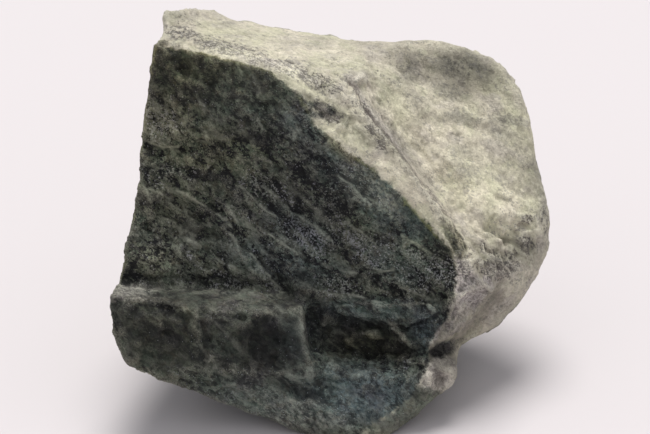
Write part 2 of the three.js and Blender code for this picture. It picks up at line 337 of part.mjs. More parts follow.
function geometryOf({ points, triangles }) {
  const g = new THREE.BufferGeometry();
  g.setAttribute("position", new THREE.Float32BufferAttribute(points.flatMap((p) => [p.x, p.y, p.z]), 3));
  g.setIndex(triangles.flat());
  return g;
}

// ---- solids, for the one cut
const wasm = await Module();
wasm.setup();
function solidOf(geometry) {
  const g = geometry.clone();
  for (const name of Object.keys(g.attributes)) if (name !== "position") g.deleteAttribute(name);
  const m = mergeVertices(g, 1e-4);
  return new wasm.Manifold(
    new wasm.Mesh({
      numProp: 3,
      vertProperties: new Float32Array(m.attributes.position.array),
      triVerts: new Uint32Array(m.index.array),
    }),
  );
}
function geometryFrom(solid) {
  const m = solid.getMesh(), n = m.numProp, v = new Float32Array(m.numVert * 3);
  for (let i = 0; i < m.numVert; i++) v.set(m.vertProperties.subarray(i * n, i * n + 3), i * 3);
  const g = new THREE.BufferGeometry();
  g.setAttribute("position", new THREE.BufferAttribute(v, 3));
  g.setIndex(new THREE.BufferAttribute(new Uint32Array(m.triVerts), 1));
  return g;
}

// One broken face: a slab whose near side is uneven, turned so that it lies past the face.
function breakSlab({ bearing, tilt, distance, hollow }, seed) {
  const size = 76, steps = Math.round(size / BREAK_STEP), thick = 30;
  const g = new THREE.BoxGeometry(size, size, thick, steps, steps, 1).translate(0, 0, thick / 2);
  const p = g.attributes.position;
  for (let i = 0; i < p.count; i++) {
    if (p.getZ(i) > thick / 2) continue;
    const x = p.getX(i), y = p.getY(i), r2 = Math.min(1, (x * x + y * y) / 196);
    let d = -hollow * (1 - r2);
    BREAK_RELIEF.forEach(({ wavelength, amplitude }, k) => {
      d += amplitude * noise(x / wavelength, y / wavelength, 3.3 * k, seed + k);
    });
    p.setZ(i, d);
  }
  const b = THREE.MathUtils.degToRad(bearing), t = THREE.MathUtils.degToRad(tilt);
  const out = new THREE.Vector3(Math.cos(t) * Math.sin(b), Math.cos(t) * Math.cos(b), Math.sin(t));
  g.applyQuaternion(new THREE.Quaternion().setFromUnitVectors(new THREE.Vector3(0, 0, 1), out));
  return g.translate(out.x * distance, out.y * distance, out.z * distance);
}

// The underside is one flat break: everything below the rest plane is cut away.
const below = new THREE.BoxGeometry(120, 120, 40).translate(0, 0, REST_PLANE - 20);
let cut = solidOf(geometryOf(rockSurface()));
BREAKS.forEach((b, n) => {
  cut = cut.subtract(solidOf(breakSlab(b, 100 + 10 * n)));
});
cut = cut.subtract(solidOf(below));

const rockGeometry = geometryFrom(cut);
rockGeometry.computeBoundingBox();
const box = rockGeometry.boundingBox;
rockGeometry.translate(-(box.min.x + box.max.x) / 2, -(box.min.y + box.max.y) / 2, -box.min.z);
rockGeometry.computeVertexNormals();

const stone = new THREE.Mesh(
  rockGeometry,
  new THREE.MeshStandardMaterial({ color: 0x8d8f78, roughness: 0.82, metalness: 0 }),
);
stone.name = "stone";

const roughPeridot = new THREE.Group();
roughPeridot.add(stone);
export default roughPeridot;
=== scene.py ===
import math

import bpy
import numpy as np
from mathutils import Euler, Matrix, Vector


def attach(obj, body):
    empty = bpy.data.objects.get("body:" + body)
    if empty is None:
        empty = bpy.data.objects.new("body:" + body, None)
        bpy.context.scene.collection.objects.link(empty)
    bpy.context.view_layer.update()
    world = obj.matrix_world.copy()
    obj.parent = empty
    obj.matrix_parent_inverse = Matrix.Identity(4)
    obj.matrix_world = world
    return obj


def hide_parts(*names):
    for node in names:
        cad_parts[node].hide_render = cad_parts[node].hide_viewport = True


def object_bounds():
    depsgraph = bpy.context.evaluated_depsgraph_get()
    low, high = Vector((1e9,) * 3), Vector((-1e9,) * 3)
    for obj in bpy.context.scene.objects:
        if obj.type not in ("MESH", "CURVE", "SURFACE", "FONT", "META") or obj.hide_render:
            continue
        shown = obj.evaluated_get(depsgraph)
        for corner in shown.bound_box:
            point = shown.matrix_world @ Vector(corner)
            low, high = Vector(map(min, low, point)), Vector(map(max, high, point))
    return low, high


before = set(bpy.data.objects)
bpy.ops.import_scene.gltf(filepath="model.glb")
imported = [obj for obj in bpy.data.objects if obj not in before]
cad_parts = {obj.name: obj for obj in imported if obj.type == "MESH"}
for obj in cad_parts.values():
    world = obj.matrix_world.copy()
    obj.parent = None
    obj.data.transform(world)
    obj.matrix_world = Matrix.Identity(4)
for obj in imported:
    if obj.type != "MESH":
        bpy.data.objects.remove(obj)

# Rough peridot: a chunk of massive, granular grey-green olivine rock.
# Shapes are worked out in millimetres in the stone's own layout frame, whose origin lies at the
# bend of the ridge; ORIGIN is the row origin (footprint centre, rest plane) in that frame.
CAD_BOX = [list(c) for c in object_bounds()]
ORIGIN = np.array([1.100, 6.863, -22.700])
ROUGH_VOXEL = 0.26     # mm, size of the first working skin's quads
VOXEL = 0.205          # and of the second one's
MOST_WORKING = 400000  # triangles of the working mesh
MOST_TRIANGLES = 196000  # triangles of the finished stone

scene = bpy.context.scene

# ------------------------------------------------------------------ camera (photo frame 650 x 434)
FOCAL_SCALE = 50.4 / 439.0      # mm of stone per picture element at the ridge
CAMERA_DISTANCE = 300.0         # mm
CAMERA_ELEVATION = math.radians(27.0)
target = Vector((-ORIGIN / 1000.0).tolist())
toward = Vector((0.0, -math.cos(CAMERA_ELEVATION), math.sin(CAMERA_ELEVATION)))
cam_data = bpy.data.cameras.new("camera")
cam_data.sensor_fit = "HORIZONTAL"
cam_data.sensor_width = 36.0
cam_data.lens = 36.0 * CAMERA_DISTANCE / (650.0 * FOCAL_SCALE)
cam_data.clip_start = 0.01
cam_data.clip_end = 20.0
camera = bpy.data.objects.new("camera", cam_data)
camera.location = target + toward * (CAMERA_DISTANCE / 1000.0)
camera.rotation_euler = (-toward).to_track_quat("-Z", "Y").to_euler()
scene.collection.objects.link(camera)
scene.camera = camera


# ------------------------------------------------------------------ noise on a lattice
def lattice(i, j, k, seed):
    with np.errstate(over="ignore"):
        h = (i.astype(np.int64) * 374761393 + j.astype(np.int64) * 668265263
             + k.astype(np.int64) * 1440662683 + seed * 974634777).astype(np.uint64) & np.uint64(0xFFFFFFFF)
        h = ((h ^ (h >> np.uint64(13))) * np.uint64(1274126177)) & np.uint64(0xFFFFFFFF)
        h = ((h ^ (h >> np.uint64(15))) * np.uint64(2246822519)) & np.uint64(0xFFFFFFFF)
        h = h ^ (h >> np.uint64(16))
    return h.astype(np.float64) / 4294967295.0


def value_noise(p, seed):
    """Smooth noise from -1 to 1 at points p (n, 3), with a lattice of 1."""
    c = np.floor(p).astype(np.int64)
    f = p - c
    u = f * f * f * (f * (f * 6 - 15) + 10)
    out = np.zeros(len(p))
    for di in (0, 1):
        wi = u[:, 0] if di else 1 - u[:, 0]
        for dj in (0, 1):
            wj = u[:, 1] if dj else 1 - u[:, 1]
            for dk in (0, 1):
                wk = u[:, 2] if dk else 1 - u[:, 2]
                out += wi * wj * wk * lattice(c[:, 0] + di, c[:, 1] + dj, c[:, 2] + dk, seed)
    return out * 2 - 1


def fbm(p, seed, octaves=4, gain=0.5):
    out, a, s = np.zeros(len(p)), 1.0, 0.0
    q = p.copy()
    for o in range(octaves):
        out += a * value_noise(q, seed + 17 * o)
        s += a
        a *= gain
        q = q @ TWIST.T * 2.03 + 5.3
    return out / s


def cells(p, seed):
    """Distance to the nearest and second-nearest seed point, a number for the nearest one, and the way from it."""
    c = np.floor(p).astype(np.int64)
    d1 = np.full(len(p), 9.0)
    d2 = np.full(len(p), 9.0)
    tag = np.zeros(len(p))
    way = np.zeros((len(p), 3))
    for di in (-1, 0, 1):
        for dj in (-1, 0, 1):
            for dk in (-1, 0, 1):
                i, j, k = c[:, 0] + di, c[:, 1] + dj, c[:, 2] + dk
                s = np.stack([i + lattice(i, j, k, seed), j + lattice(i, j, k, seed + 1),
                              k + lattice(i, j, k, seed + 2)], 1)
                d = np.linalg.norm(p - s, axis=1)
                near = d < d1
                d2 = np.where(near, d1, np.minimum(d2, d))
                tag = np.where(near, lattice(i, j, k, seed + 3), tag)
                way = np.where(near[:, None], p - s, way)
                d1 = np.where(near, d, d1)
    return d1, d2, tag, way


def splits(p, seed, tilt):
    """Broken facets: every cell is a small plane of its own, tipped at random, with a step to the next."""
    d1, d2, tag, way = cells(p, seed)
    a = tag * 6.2832 * 7.0
    b = (tag * 91.7) % 1.0 * 2 - 1
    lean = np.stack([np.cos(a), np.sin(a), b], 1)
    rim = smooth01(d2 - d1, 0.0, 0.10)
    return tilt * (lean * way).sum(1) * (0.35 + 0.65 * rim), tag, rim


TWIST = np.array(Euler((0.7, 0.4, 1.1)).to_matrix())


def smooth01(x, lo, hi):
    t = np.clip((x - lo) / (hi - lo), 0, 1)
    return t * t * (3 - 2 * t)


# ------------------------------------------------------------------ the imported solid, as arrays
def arrays(mesh):
    v = np.empty(len(mesh.vertices) * 3)
    mesh.vertices.foreach_get("co", v)
    mesh.calc_loop_triangles()
    t = np.empty(len(mesh.loop_triangles) * 3, np.int64)
    mesh.loop_triangles.foreach_get("vertices", t)
    return v.reshape(-1, 3), t.reshape(-1, 3)


def welded(v, t, grid):
    key = np.round(v / grid).astype(np.int64)
    _, first, back = np.unique(key, axis=0, return_index=True, return_inverse=True)
    t = back.reshape(-1)[t]
    t = t[(t[:, 0] != t[:, 1]) & (t[:, 1] != t[:, 2]) & (t[:, 2] != t[:, 0])]
    return v[first], t


def loop_once(v, t, crease_cos, sharp):
    """One round of Loop subdivision; edges in `sharp`, or folded past crease_cos, stay sharp."""
    n = len(v)
    e = np.concatenate([t[:, [0, 1]], t[:, [1, 2]], t[:, [2, 0]]])
    opp = np.concatenate([t[:, 2], t[:, 0], t[:, 1]])
    face = np.tile(np.arange(len(t)), 3)
    lo, hi = e.min(1), e.max(1)
    key = lo * n + hi
    order = np.argsort(key, kind="stable")
    uk, start, count = np.unique(key[order], return_index=True, return_counts=True)
    a, b = uk // n, uk % n
    first = order[start]
    second = order[np.minimum(start + 1, len(order) - 1)]
    paired = count == 2
    o1, o2 = opp[first], opp[second]
    fn = np.cross(v[t[:, 1]] - v[t[:, 0]], v[t[:, 2]] - v[t[:, 0]])
    fn /= np.maximum(np.linalg.norm(fn, axis=1), 1e-12)[:, None]
    if sharp is None:
        turned = (fn[face[first]] * fn[face[second]]).sum(1)
        is_sharp = (~paired) | (turned < crease_cos)
    else:
        is_sharp = np.isin(uk, sharp) | ~paired
    mid = np.where(is_sharp[:, None], (v[a] + v[b]) / 2,
                   (v[a] + v[b]) * 0.375 + (v[o1] + v[o2]) * 0.125)
    val = np.bincount(a, minlength=n) + np.bincount(b, minlength=n)
    ring = np.stack([np.bincount(a, v[b][:, k], n) + np.bincount(b, v[a][:, k], n) for k in range(3)], 1)
    beta = np.where(val == 3, 3 / 16, 3 / (8 * np.maximum(val, 1)))
    soft = v * (1 - val * beta)[:, None] + ring * beta[:, None]
    sa, sb = a[is_sharp], b[is_sharp]
    sval = np.bincount(sa, minlength=n) + np.bincount(sb, minlength=n)
    sring = np.stack([np.bincount(sa, v[sb][:, k], n) + np.bincount(sb, v[sa][:, k], n) for k in range(3)], 1)
    moved = np.where((sval < 2)[:, None], soft, np.where((sval == 2)[:, None], v * 0.75 + sring * 0.125, v))
    eid = np.searchsorted(uk, key)
    m = n + eid
    f = len(t)
    ab, bc, ca = m[:f], m[f:2 * f], m[2 * f:]
    new_t = np.concatenate([np.stack([t[:, 0], ab, ca], 1), np.stack([t[:, 1], bc, ab], 1),
                            np.stack([t[:, 2], ca, bc], 1), np.stack([ab, bc, ca], 1)])
    new_v = np.concatenate([moved, mid])
    nn = len(new_v)
    ks = np.nonzero(is_sharp)[0]
    new_sharp = np.concatenate([a[ks] * nn + (n + ks), b[ks] * nn + (n + ks)])
    return new_v, new_t, new_sharp


def mesh_from(name, v, faces):
    me = bpy.data.meshes.new(name)
    me.vertices.add(len(v))
    me.vertices.foreach_set("co", np.asarray(v, np.float32).ravel())
    k = faces.shape[1]
    me.loops.add(len(faces) * k)
    me.loops.foreach_set("vertex_index", faces.astype(np.int32).ravel())
    me.polygons.add(len(faces))
    me.polygons.foreach_set("loop_start", (np.arange(len(faces)) * k).astype(np.int32))
    me.polygons.foreach_set("loop_total", np.full(len(faces), k, np.int32))
    me.update(calc_edges=True)
    return me


def remeshed(v, faces, size):
    """The same shape as an even skin of quads of this size."""
    me = mesh_from("layout", v, faces)
    ob = bpy.data.objects.new("layout", me)
    scene.collection.objects.link(ob)
    mod = ob.modifiers.new("even", "REMESH")
    mod.mode = "VOXEL"
    mod.voxel_size = size
    mod.adaptivity = 0
    dg = bpy.context.evaluated_depsgraph_get()
    out = bpy.data.meshes.new_from_object(ob.evaluated_get(dg))
    bpy.data.objects.remove(ob)
    bpy.data.meshes.remove(me)
    return out


# ------------------------------------------------------------------ the working skin
def take(mesh, size):
    """Make an all-quad mesh the working skin: its largest connected part, in the layout frame, mm."""
    global P, quads, nv, EA, EB, VAL, GRID
    GRID = size
    if len(mesh.loops) != 4 * len(mesh.polygons):
        raise RuntimeError("remesh gave a face that isn't a quad")
    quads = np.empty(len(mesh.loops), np.int64)
    mesh.loops.foreach_get("vertex_index", quads)
    quads = quads.reshape(-1, 4)
    nv = len(mesh.vertices)
    P = np.empty(nv * 3)
    mesh.vertices.foreach_get("co", P)
    P = P.reshape(-1, 3) + ORIGIN
    bpy.data.meshes.remove(mesh)
    link()
    label = np.arange(nv)
    while True:
        low = np.minimum(label[EA], label[EB])
        new = label.copy()
        np.minimum.at(new, EA, low)
        np.minimum.at(new, EB, low)
        new = new[new]
        new = new[new]
        if (new == label).all():
            break
        label = new
    names, counts = np.unique(label, return_counts=True)
    if len(names) > 1:
        keep = label == names[np.argmax(counts)]
        index = np.cumsum(keep) - 1
        quads = index[quads[keep[quads[:, 0]]]]
        P = P[keep]
        nv = len(P)
        link()


def link():
    global EA, EB, VAL
    e = np.concatenate([quads[:, [0, 1]], quads[:, [1, 2]], quads[:, [2, 3]], quads[:, [3, 0]]])
    e.sort(axis=1)
    key = np.unique(e[:, 0] * nv + e[:, 1])
    EA, EB = key // nv, key % nv
    VAL = (np.bincount(EA, minlength=nv) + np.bincount(EB, minlength=nv)).astype(float)


def around(x):
    """The mean of x over each vertex's neighbours."""
    if x.ndim == 1:
        return (np.bincount(EA, x[EB], nv) + np.bincount(EB, x[EA], nv)) / VAL
    return np.stack([around(x[:, k]) for k in range(x.shape[1])], 1)


def smoothed(x, rounds, amount=0.6):
    """Smoothed over a reach given in rounds on a skin of VOXEL."""
    for _ in range(max(1, int(round(rounds * (VOXEL / GRID) ** 2)))):
        x = x + amount * (around(x) - x)
    return x


def vertex_normals(p):
    n4 = np.cross(p[quads[:, 2]] - p[quads[:, 0]], p[quads[:, 3]] - p[quads[:, 1]])
    n = np.stack([sum(np.bincount(quads[:, c], n4[:, k], nv) for c in range(4)) for k in range(3)], 1)
    return n / np.maximum(np.linalg.norm(n, axis=1), 1e-12)[:, None]


def unit(x):
    return x / np.maximum(np.linalg.norm(x, axis=1), 1e-12)[:, None]


LOWEST = -22.7
ce, se = math.cos(CAMERA_ELEVATION), math.sin(CAMERA_ELEVATION)
TOWARD = np.array(toward)


def in_frame(p):
    w = -p[:, 1] * ce + p[:, 2] * se
    k = FOCAL_SCALE * (CAMERA_DISTANCE - w) / CAMERA_DISTANCE
    return 325.0 + p[:, 0] / k, 217.0 - (p[:, 1] * se + p[:, 2] * ce) / k


def even_out(rounds):
    """The voxel grid leaves fine stairs on slanting faces: smooth them out, but not the edges away."""
    global P
    wide = smoothed(P, 44)
    crisp = smooth01(np.abs(((P - wide) * vertex_normals(P)).sum(1)), 0.05, 0.3)
    for _ in range(rounds):
        P = P + (0.55 - 0.40 * crisp)[:, None] * (around(P) - P)


def look():
    """Facings, folds and places in the photo frame of the working skin's vertices."""
    global N, Nm, Nb, fold, edge, above, PX, PY, facing_us, SEEN, hidden, depth
    N = vertex_normals(P)
    Nm = unit(smoothed(N, 9))                # facing of the face a point is on
    Nb = unit(smoothed(N, 60))
    fold = ((P - smoothed(P, 80)) * N).sum(1)   # > 0 on a convex edge, < 0 in a hollow, mm
    edge = smooth01(fold, 0.05, 0.42)
    above = smooth01(P[:, 2], LOWEST + 0.15, LOWEST + 0.9)   # 0 on the rest plane
    PX, PY = in_frame(P)
    facing_us = (unit(TOWARD * CAMERA_DISTANCE - P) * Nm).sum(1)
    SEEN = smooth01(facing_us, -0.05, 0.15)
    hidden = 1 - SEEN
    depth = -P[:, 1] * ce + P[:, 2] * se


def patch(x, y, rx, ry, turn=0.0, soft=0.5):
    """1 inside an ellipse on the visible side (centre and radii in picture elements, turn clockwise in degrees)."""
    a = math.radians(turn)
    dx, dy = PX - x, PY - y
    u, q = dx * math.cos(a) + dy * math.sin(a), -dx * math.sin(a) + dy * math.cos(a)
    return SEEN * (1 - smooth01(np.sqrt((u / rx) ** 2 + (q / ry) ** 2), 1 - soft, 1 + soft))


def along(points, width):
    """Nearness to a polyline on the visible side, 1 on it and 0 past width; the signed side distance; the distance."""
    best = np.full(len(PX), 1e9)
    side = np.zeros(len(PX))
    for (x0, y0), (x1, y1) in zip(points[:-1], points[1:]):
        dx, dy = x1 - x0, y1 - y0
        t = np.clip(((PX - x0) * dx + (PY - y0) * dy) / (dx * dx + dy * dy), 0, 1)
        ex, ey = PX - (x0 + t * dx), PY - (y0 + t * dy)
        d = np.hypot(ex, ey)
        near = d < best
        best = np.where(near, d, best)
        side = np.where(near, np.sign(dx * ey - dy * ex) * d, side)
    return SEEN * (1 - smooth01(best, 0, width)), side, best


def inside(points, soft):
    """1 inside a polygon on the visible side, 0 outside, with a soft rim (all in picture elements)."""
    _, _, best = along(list(points) + [points[0]], 1.0)
    odd = np.zeros(len(PX), bool)
    for (x0, y0), (x1, y1) in zip(points, list(points[1:]) + [points[0]]):
        hit = ((y0 > PY) != (y1 > PY)) & (PX < (x1 - x0) * (PY - y0) / ((y1 - y0) or 1e-9) + x0)
        odd ^= hit
    return SEEN * smooth01(np.where(odd, best, -best), -soft, soft)


# Foliation: grains and specks lie flat in one plane through the whole rock.
FLAT = np.array([0.52, -0.466, 0.717])
FLAT /= np.linalg.norm(FLAT)
LONG = np.cross([0.0, -0.96, 0.27], FLAT)
LONG /= -np.linalg.norm(LONG)
CROSS = np.cross(FLAT, LONG)
BASIS = np.stack([LONG, CROSS, FLAT])     # rows: long, cross, flat
RIDGE = np.array([0.90, -0.42, -0.15]) / np.linalg.norm([0.90, -0.42, -0.15])      # the way the upper ridge runs
RIDGE_SIDE = np.cross([0.05, -0.25, 0.97], RIDGE) / np.linalg.norm(np.cross([0.05, -0.25, 0.97], RIDGE))
RIDGE_BASIS = np.stack([RIDGE, RIDGE_SIDE, np.cross(RIDGE, RIDGE_SIDE)])


def bedded(p, long=3.0, cross=2.0, flat=1.0):
    """Positions squeezed so that noise on them is drawn out in the foliation."""
    return (p @ BASIS.T) / np.array([long, cross, flat])


# ------------------------------------------------------------------ where things are on the stone
# Lines and outlines on the side the camera sees, in picture elements of the 650 x 434 frame.
FRONT = np.array([0.0, -0.955, 0.297])
F_LINE = [(154, 46), (178, 50), (200, 52), (222, 58), (243, 63), (268, 70), (288, 84), (302, 100), (315, 124), (332, 140),
          (352, 155), (375, 171), (398, 193), (418, 214), (437, 236), (455, 252)]
FRONT_AREA = ([(100, 44), (154, 44)] + F_LINE[1:]
              + [(454, 258), (456, 271), (457, 283), (455, 293), (452, 303), (449, 315), (444, 323), (437, 334), (431, 343), (429, 352), (428, 364), (423, 378), (417, 389),
                 (408, 400), (397, 407), (385, 416), (370, 426), (358, 440),
                 (340, 470), (60, 470), (60, 280)])
CREST = [(345, 79), (356, 96), (367, 114), (381, 131), (397, 150), (407, 165), (417, 179), (428, 192), (438, 205), (449, 220), (458, 235), (467, 257)]
STRIP = [(454, 254), (462, 250), (467, 255), (472, 266), (479, 277), (490, 281), (492, 289), (480, 305), (473, 312), (468, 321), (463, 327), (453, 334),
         (442, 341), (433, 346), (431, 341), (436, 334), (443, 324), (449, 315), (452, 303), (456, 292), (457, 282), (456, 271)]
HOLLOW = [(306, 302), (330, 299), (372, 300), (420, 305), (446, 302), (440, 325), (432, 350), (400, 357), (350, 358), (316, 358)]
LEDGE_TOP = [(109, 300), (112, 290), (120, 283), (150, 284), (190, 287), (240, 288), (272, 290), (290, 297), (303, 306), (274, 311), (243, 315), (214, 312),
             (190, 309), (168, 303), (146, 300)]
KNOB = [(430, 357), (440, 352), (451, 355), (460, 362), (461, 378), (455, 388), (442, 395), (431, 393), (421, 390), (424, 378), (427, 365)]
CLEFT = [(429, 352), (436, 345), (447, 341), (462, 338), (466, 344), (456, 350), (446, 356), (434, 358)]
FOOT = [(420, 388), (431, 392), (442, 395), (460, 392), (440, 420), (410, 450), (352, 446), (370, 428), (385, 417), (397, 408), (409, 399)]
CRUMBLE = [(466, 236), (478, 226), (496, 216), (518, 213), (538, 216), (541, 234), (528, 256), (515, 270), (502, 283), (490, 276), (478, 266), (470, 252)]
UNDERCUT = [(479, 307), (492, 290), (504, 291), (501, 304), (487, 319), (475, 331), (463, 341), (450, 347), (444, 342), (454, 335), (464, 328), (469, 322), (474, 313)]
WEDGE = [(443, 212), (451, 222), (460, 236), (466, 248), (467, 258), (461, 260), (456, 257), (452, 249), (448, 241), (443, 231), (440, 221)]
WEDGE_RIM = [(418, 210), (425, 217), (431, 224), (437, 230), (442, 235), (446, 240), (449, 245), (452, 251), (454, 258), (456, 266)]
STRIP_RIDGE = [(474, 272), (483, 283), (474, 287), (466, 292), (459, 299), (455, 306), (449, 318)]
LEFT_LINE = [(161, 24), (157, 38), (154, 46), (149, 72), (146, 100), (142, 128), (140, 152), (139, 178), (135, 205), (130, 232), (124, 262), (118, 282), (109, 303),
             (113, 322), (120, 345), (129, 368)]

# Step-like splinters on the dark face: polyline, height in mm (+ raises the side below the line), reach in picture elements.
SPLINTERS = [
    ([(150, 189), (158, 192), (168, 198), (183, 207)], 0.34, 15), ([(168, 147), (178, 152), (190, 157)], 0.24, 12),
    ([(176, 190), (188, 195), (198, 202), (212, 209)], 0.34, 14), ([(212, 210), (224, 218), (232, 227)], 0.26, 10),
    ([(219, 198), (228, 207), (237, 221)], 0.30, 13), ([(229, 233), (239, 246), (253, 255), (262, 268), (272, 280), (282, 289)], 0.42, 18),
    ([(144, 185), (149, 198), (157, 208)], 0.28, 9), ([(188, 216), (199, 222), (210, 226)], 0.24, 9),
    ([(176, 234), (190, 240), (202, 246)], 0.26, 10), ([(143, 139), (152, 145), (162, 148), (178, 147)], -0.55, 14),
    ([(262, 186), (275, 195), (288, 208)], 0.24, 10), ([(300, 281), (318, 290), (340, 296)], 0.34, 12),
    ([(350, 294), (368, 299), (380, 303)], 0.30, 12), ([(366, 278), (380, 272), (394, 270)], -0.22, 8),
    ([(400, 287), (418, 295), (436, 300)], -0.34, 11), ([(296, 214), (316, 227), (332, 241)], 0.28, 12),
    ([(338, 176), (352, 186), (364, 200)], 0.20, 12), ([(246, 106), (256, 116), (262, 128)], 0.22, 14),
    ([(196, 96), (206, 108), (214, 112)], 0.20, 12), ([(402, 236), (420, 246), (442, 259)], 0.24, 10),
    ([(262, 228), (282, 243), (298, 254)], 0.28, 10), ([(318, 262), (338, 270), (356, 273)], 0.24, 10),
    ([(188, 44), (190, 50), (196, 54)], 0.20, 7), ([(160, 216), (174, 222), (186, 231), (196, 236)], 0.22, 8),
    ([(240, 186), (252, 196), (262, 208), (276, 216)], 0.24, 9), ([(344, 222), (362, 232), (376, 244)], 0.22, 9),
    ([(206, 252), (222, 262), (236, 268)], 0.22, 9), ([(366, 196), (384, 208), (398, 222)], 0.18, 9),
]


def splinter_steps(scale):
    out = np.zeros(nv)
    for line, height, reach in SPLINTERS:
        _, side, best = along(line, 1.0)
        ends = 1 - smooth01(best, 0.35 * reach, reach)
        out += SEEN * scale * height * ends * (smooth01(side, -1.0, 1.0) - 0.45)
    return out


# ------------------------------------------------------------------ first skin: the broken shapes, a millimetre and up
stone_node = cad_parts["stone"]
v, t = arrays(stone_node.data)
v, t = welded(v * 1000.0, t, 1e-3)
sharp = None
for _ in range(2):
    v, t, sharp = loop_once(v, t, math.cos(math.radians(24)), sharp)
take(remeshed(v, t, ROUGH_VOXEL), ROUGH_VOXEL)
even_out(3)
look()
loose = np.clip(0.8 * inside(STRIP, 3.0) + 0.8 * inside(KNOB, 4.0) + 0.8 * inside(CRUMBLE, 4.0) + 0.35 * hidden, 0, 1)
push = np.zeros(nv)                         # towards the camera, mm: shapes laid out as it sees them
PX = PX + 1.3 * value_noise(P / 1.1, 121) + 1.0 * value_noise(P / 0.5, 122)
_, crest_side, crest_dist = along(CREST, 1.0)
PX, PY = in_frame(P)
behind = -crest_side                        # picture elements to the right of the crest
near_crest = (facing_us > -0.45) * (depth > -8.0) * smooth01(PY, 76, 90) * (1 - smooth01(PY, 246, 264))
wall_cut = near_crest * smooth01(behind, -0.6, 1.0) * (1 - smooth01(behind, 3, 40)) * (1 - smooth01(crest_dist, 30, 44))
push -= 1.15 * wall_cut * (1 + 0.25 * value_noise(P / 2.2, 86))
push += 0.22 * near_crest * (1 - smooth01(crest_dist, 0.5, 5.0)) * (crest_side > -0.3)
push += splinter_steps(1.0)
# the dark sliver at the foot of the ridge, between two thin lips; the strip below it has a ridge of its own and is undercut on the right
lip, _, _ = along(WEDGE_RIM, 3.2)
push += 0.24 * lip - 0.30 * inside(WEDGE, 2.0)
lip, _, _ = along(STRIP_RIDGE, 5.0)
push += 0.40 * lip - 0.95 * inside(UNDERCUT, 4.0)
# the hollow at the right: a slab under its upper rim, the pit beneath, a facet at its right end, chips left standing
jag = 1.3 * value_noise(P / 0.9, 83)
PX, PY = PX + 1.6 * value_noise(P / 1.2, 84), PY + jag
SLAB = [(334, 303), (360, 301), (400, 303), (432, 300), (438, 309), (431, 317), (410, 325), (392, 325), (376, 320), (352, 317), (337, 311)]
PIT = [(316, 334), (330, 324), (346, 319), (376, 323), (392, 328), (403, 340), (417, 354), (424, 362), (402, 357), (376, 354), (345, 353), (322, 350)]
FACET = [(396, 329), (412, 328), (432, 318), (440, 324), (434, 345), (429, 354), (420, 352), (407, 341)]
push += 1.05 * inside(SLAB, 1.6)
push -= 0.55 * inside(PIT, 2.0)
push += 0.70 * inside(FACET, 1.8)
push += 0.75 * inside([(392, 327), (400, 327), (411, 340), (414, 347), (405, 343), (396, 335)], 1.5)
push += 0.65 * inside([(364, 330), (374, 329), (382, 334), (388, 339), (378, 340), (368, 337)], 1.5)
push += 0.50 * inside([(342, 338), (352, 336), (356, 344), (346, 347)], 1.5) + 0.55 * inside([(322, 312), (334, 314), (338, 326), (328, 330), (320, 324)], 1.6)
push += 0.45 * inside([(312, 326), (322, 330), (326, 344), (315, 346)], 1.8)
push += 0.55 * inside([(399, 357), (412, 355), (424, 358), (426, 364), (412, 363)], 1.6) - 0.55 * inside([(401, 362), (413, 364), (424, 366), (418, 371), (404, 369)], 1.8)
push -= 0.65 * inside([(430, 292), (444, 288), (449, 296), (441, 305), (431, 303)], 2.0)
# the cleft between the strip and the knob, open to the right
push -= 1.3 * inside(CLEFT, 2.2)
push += 0.5 * patch(447, 368, 8, 8, 20, 0.5) + 0.5 * patch(453, 377, 5, 6, 0, 0.5) - 0.5 * patch(441, 381, 6, 5, 20, 0.5) + 0.35 * patch(431, 390, 9, 6, -40, 0.5)
push -= 0.45 * patch(452, 362, 4, 3, 0, 0.5) + 0.4 * patch(444, 392, 5, 4, 0, 0.5)
# the front of the ledge
push -= 0.75 * inside([(146, 304), (160, 304), (176, 309), (192, 316), (190, 322), (168, 317), (148, 312)], 2.2)
push -= 0.9 * SEEN * (1 - smooth01(PX, 111, 131)) * (PY > 298) * (PY < 376)
push += 0.30 * (1 - smooth01(np.abs(PX - 196 - 0.05 * (PY - 330)), 1.0, 7.0)) * inside([(186, 312), (208, 314), (210, 364), (186, 364)], 4.0)
push -= 0.50 * patch(268, 346, 24, 17, 6, 0.5) + 0.30 * patch(221, 333, 15, 11, 0, 0.5) + 0.35 * patch(158, 336, 16, 8, 14, 0.5) + 0.3 * patch(170, 356, 20, 5, 10, 0.5)
push += 0.25 * patch(212, 360, 7, 4, 0, 0.5)
lower_lip, _, _ = along([(180, 371), (206, 369), (240, 371), (272, 374), (300, 369)], 6.0)
push += 0.30 * lower_lip - 0.45 * patch(294, 388, 22, 6, 20, 0.5) - 0.25 * patch(240, 382, 22, 5, 6, 0.5)
# bites out of the ledge's front rim
push -= 0.6 * patch(168, 305, 5, 3.5, 0, 0.6) + 0.5 * patch(205, 311, 4, 3, 0, 0.6) + 0.6 * patch(243, 316, 6, 4, 0, 0.6) + 0.5 * patch(284, 309, 5, 3.5, 0, 0.6)
# lower front: broad flat folds running down to the right
push += 0.22 * patch(290, 400, 60, 9, 14, 0.6) - 0.22 * patch(350, 392, 50, 7, 12, 0.6) + 0.2 * patch(370, 410, 44, 7, 16, 0.6) + 0.2 * patch(345, 374, 30, 5, 6, 0.6)
# the seam along the foot of the dark face, above the ledge
seam, _, _ = along([(120, 279), (138, 276), (152, 280), (172, 275), (186, 279), (204, 281), (220, 277), (238, 280), (252, 285), (268, 283), (286, 290)], 5.0)
seam = seam * smooth01(value_noise(P / 1.9, 95), -0.45, 0.25)
push -= 0.30 * seam
push += 0.25 * patch(158, 272, 12, 4, -10, 0.5) + 0.25 * patch(212, 274, 13, 4, 6, 0.5) + 0.25 * patch(256, 277, 12, 4, 10, 0.5)
PX, PY = in_frame(P)
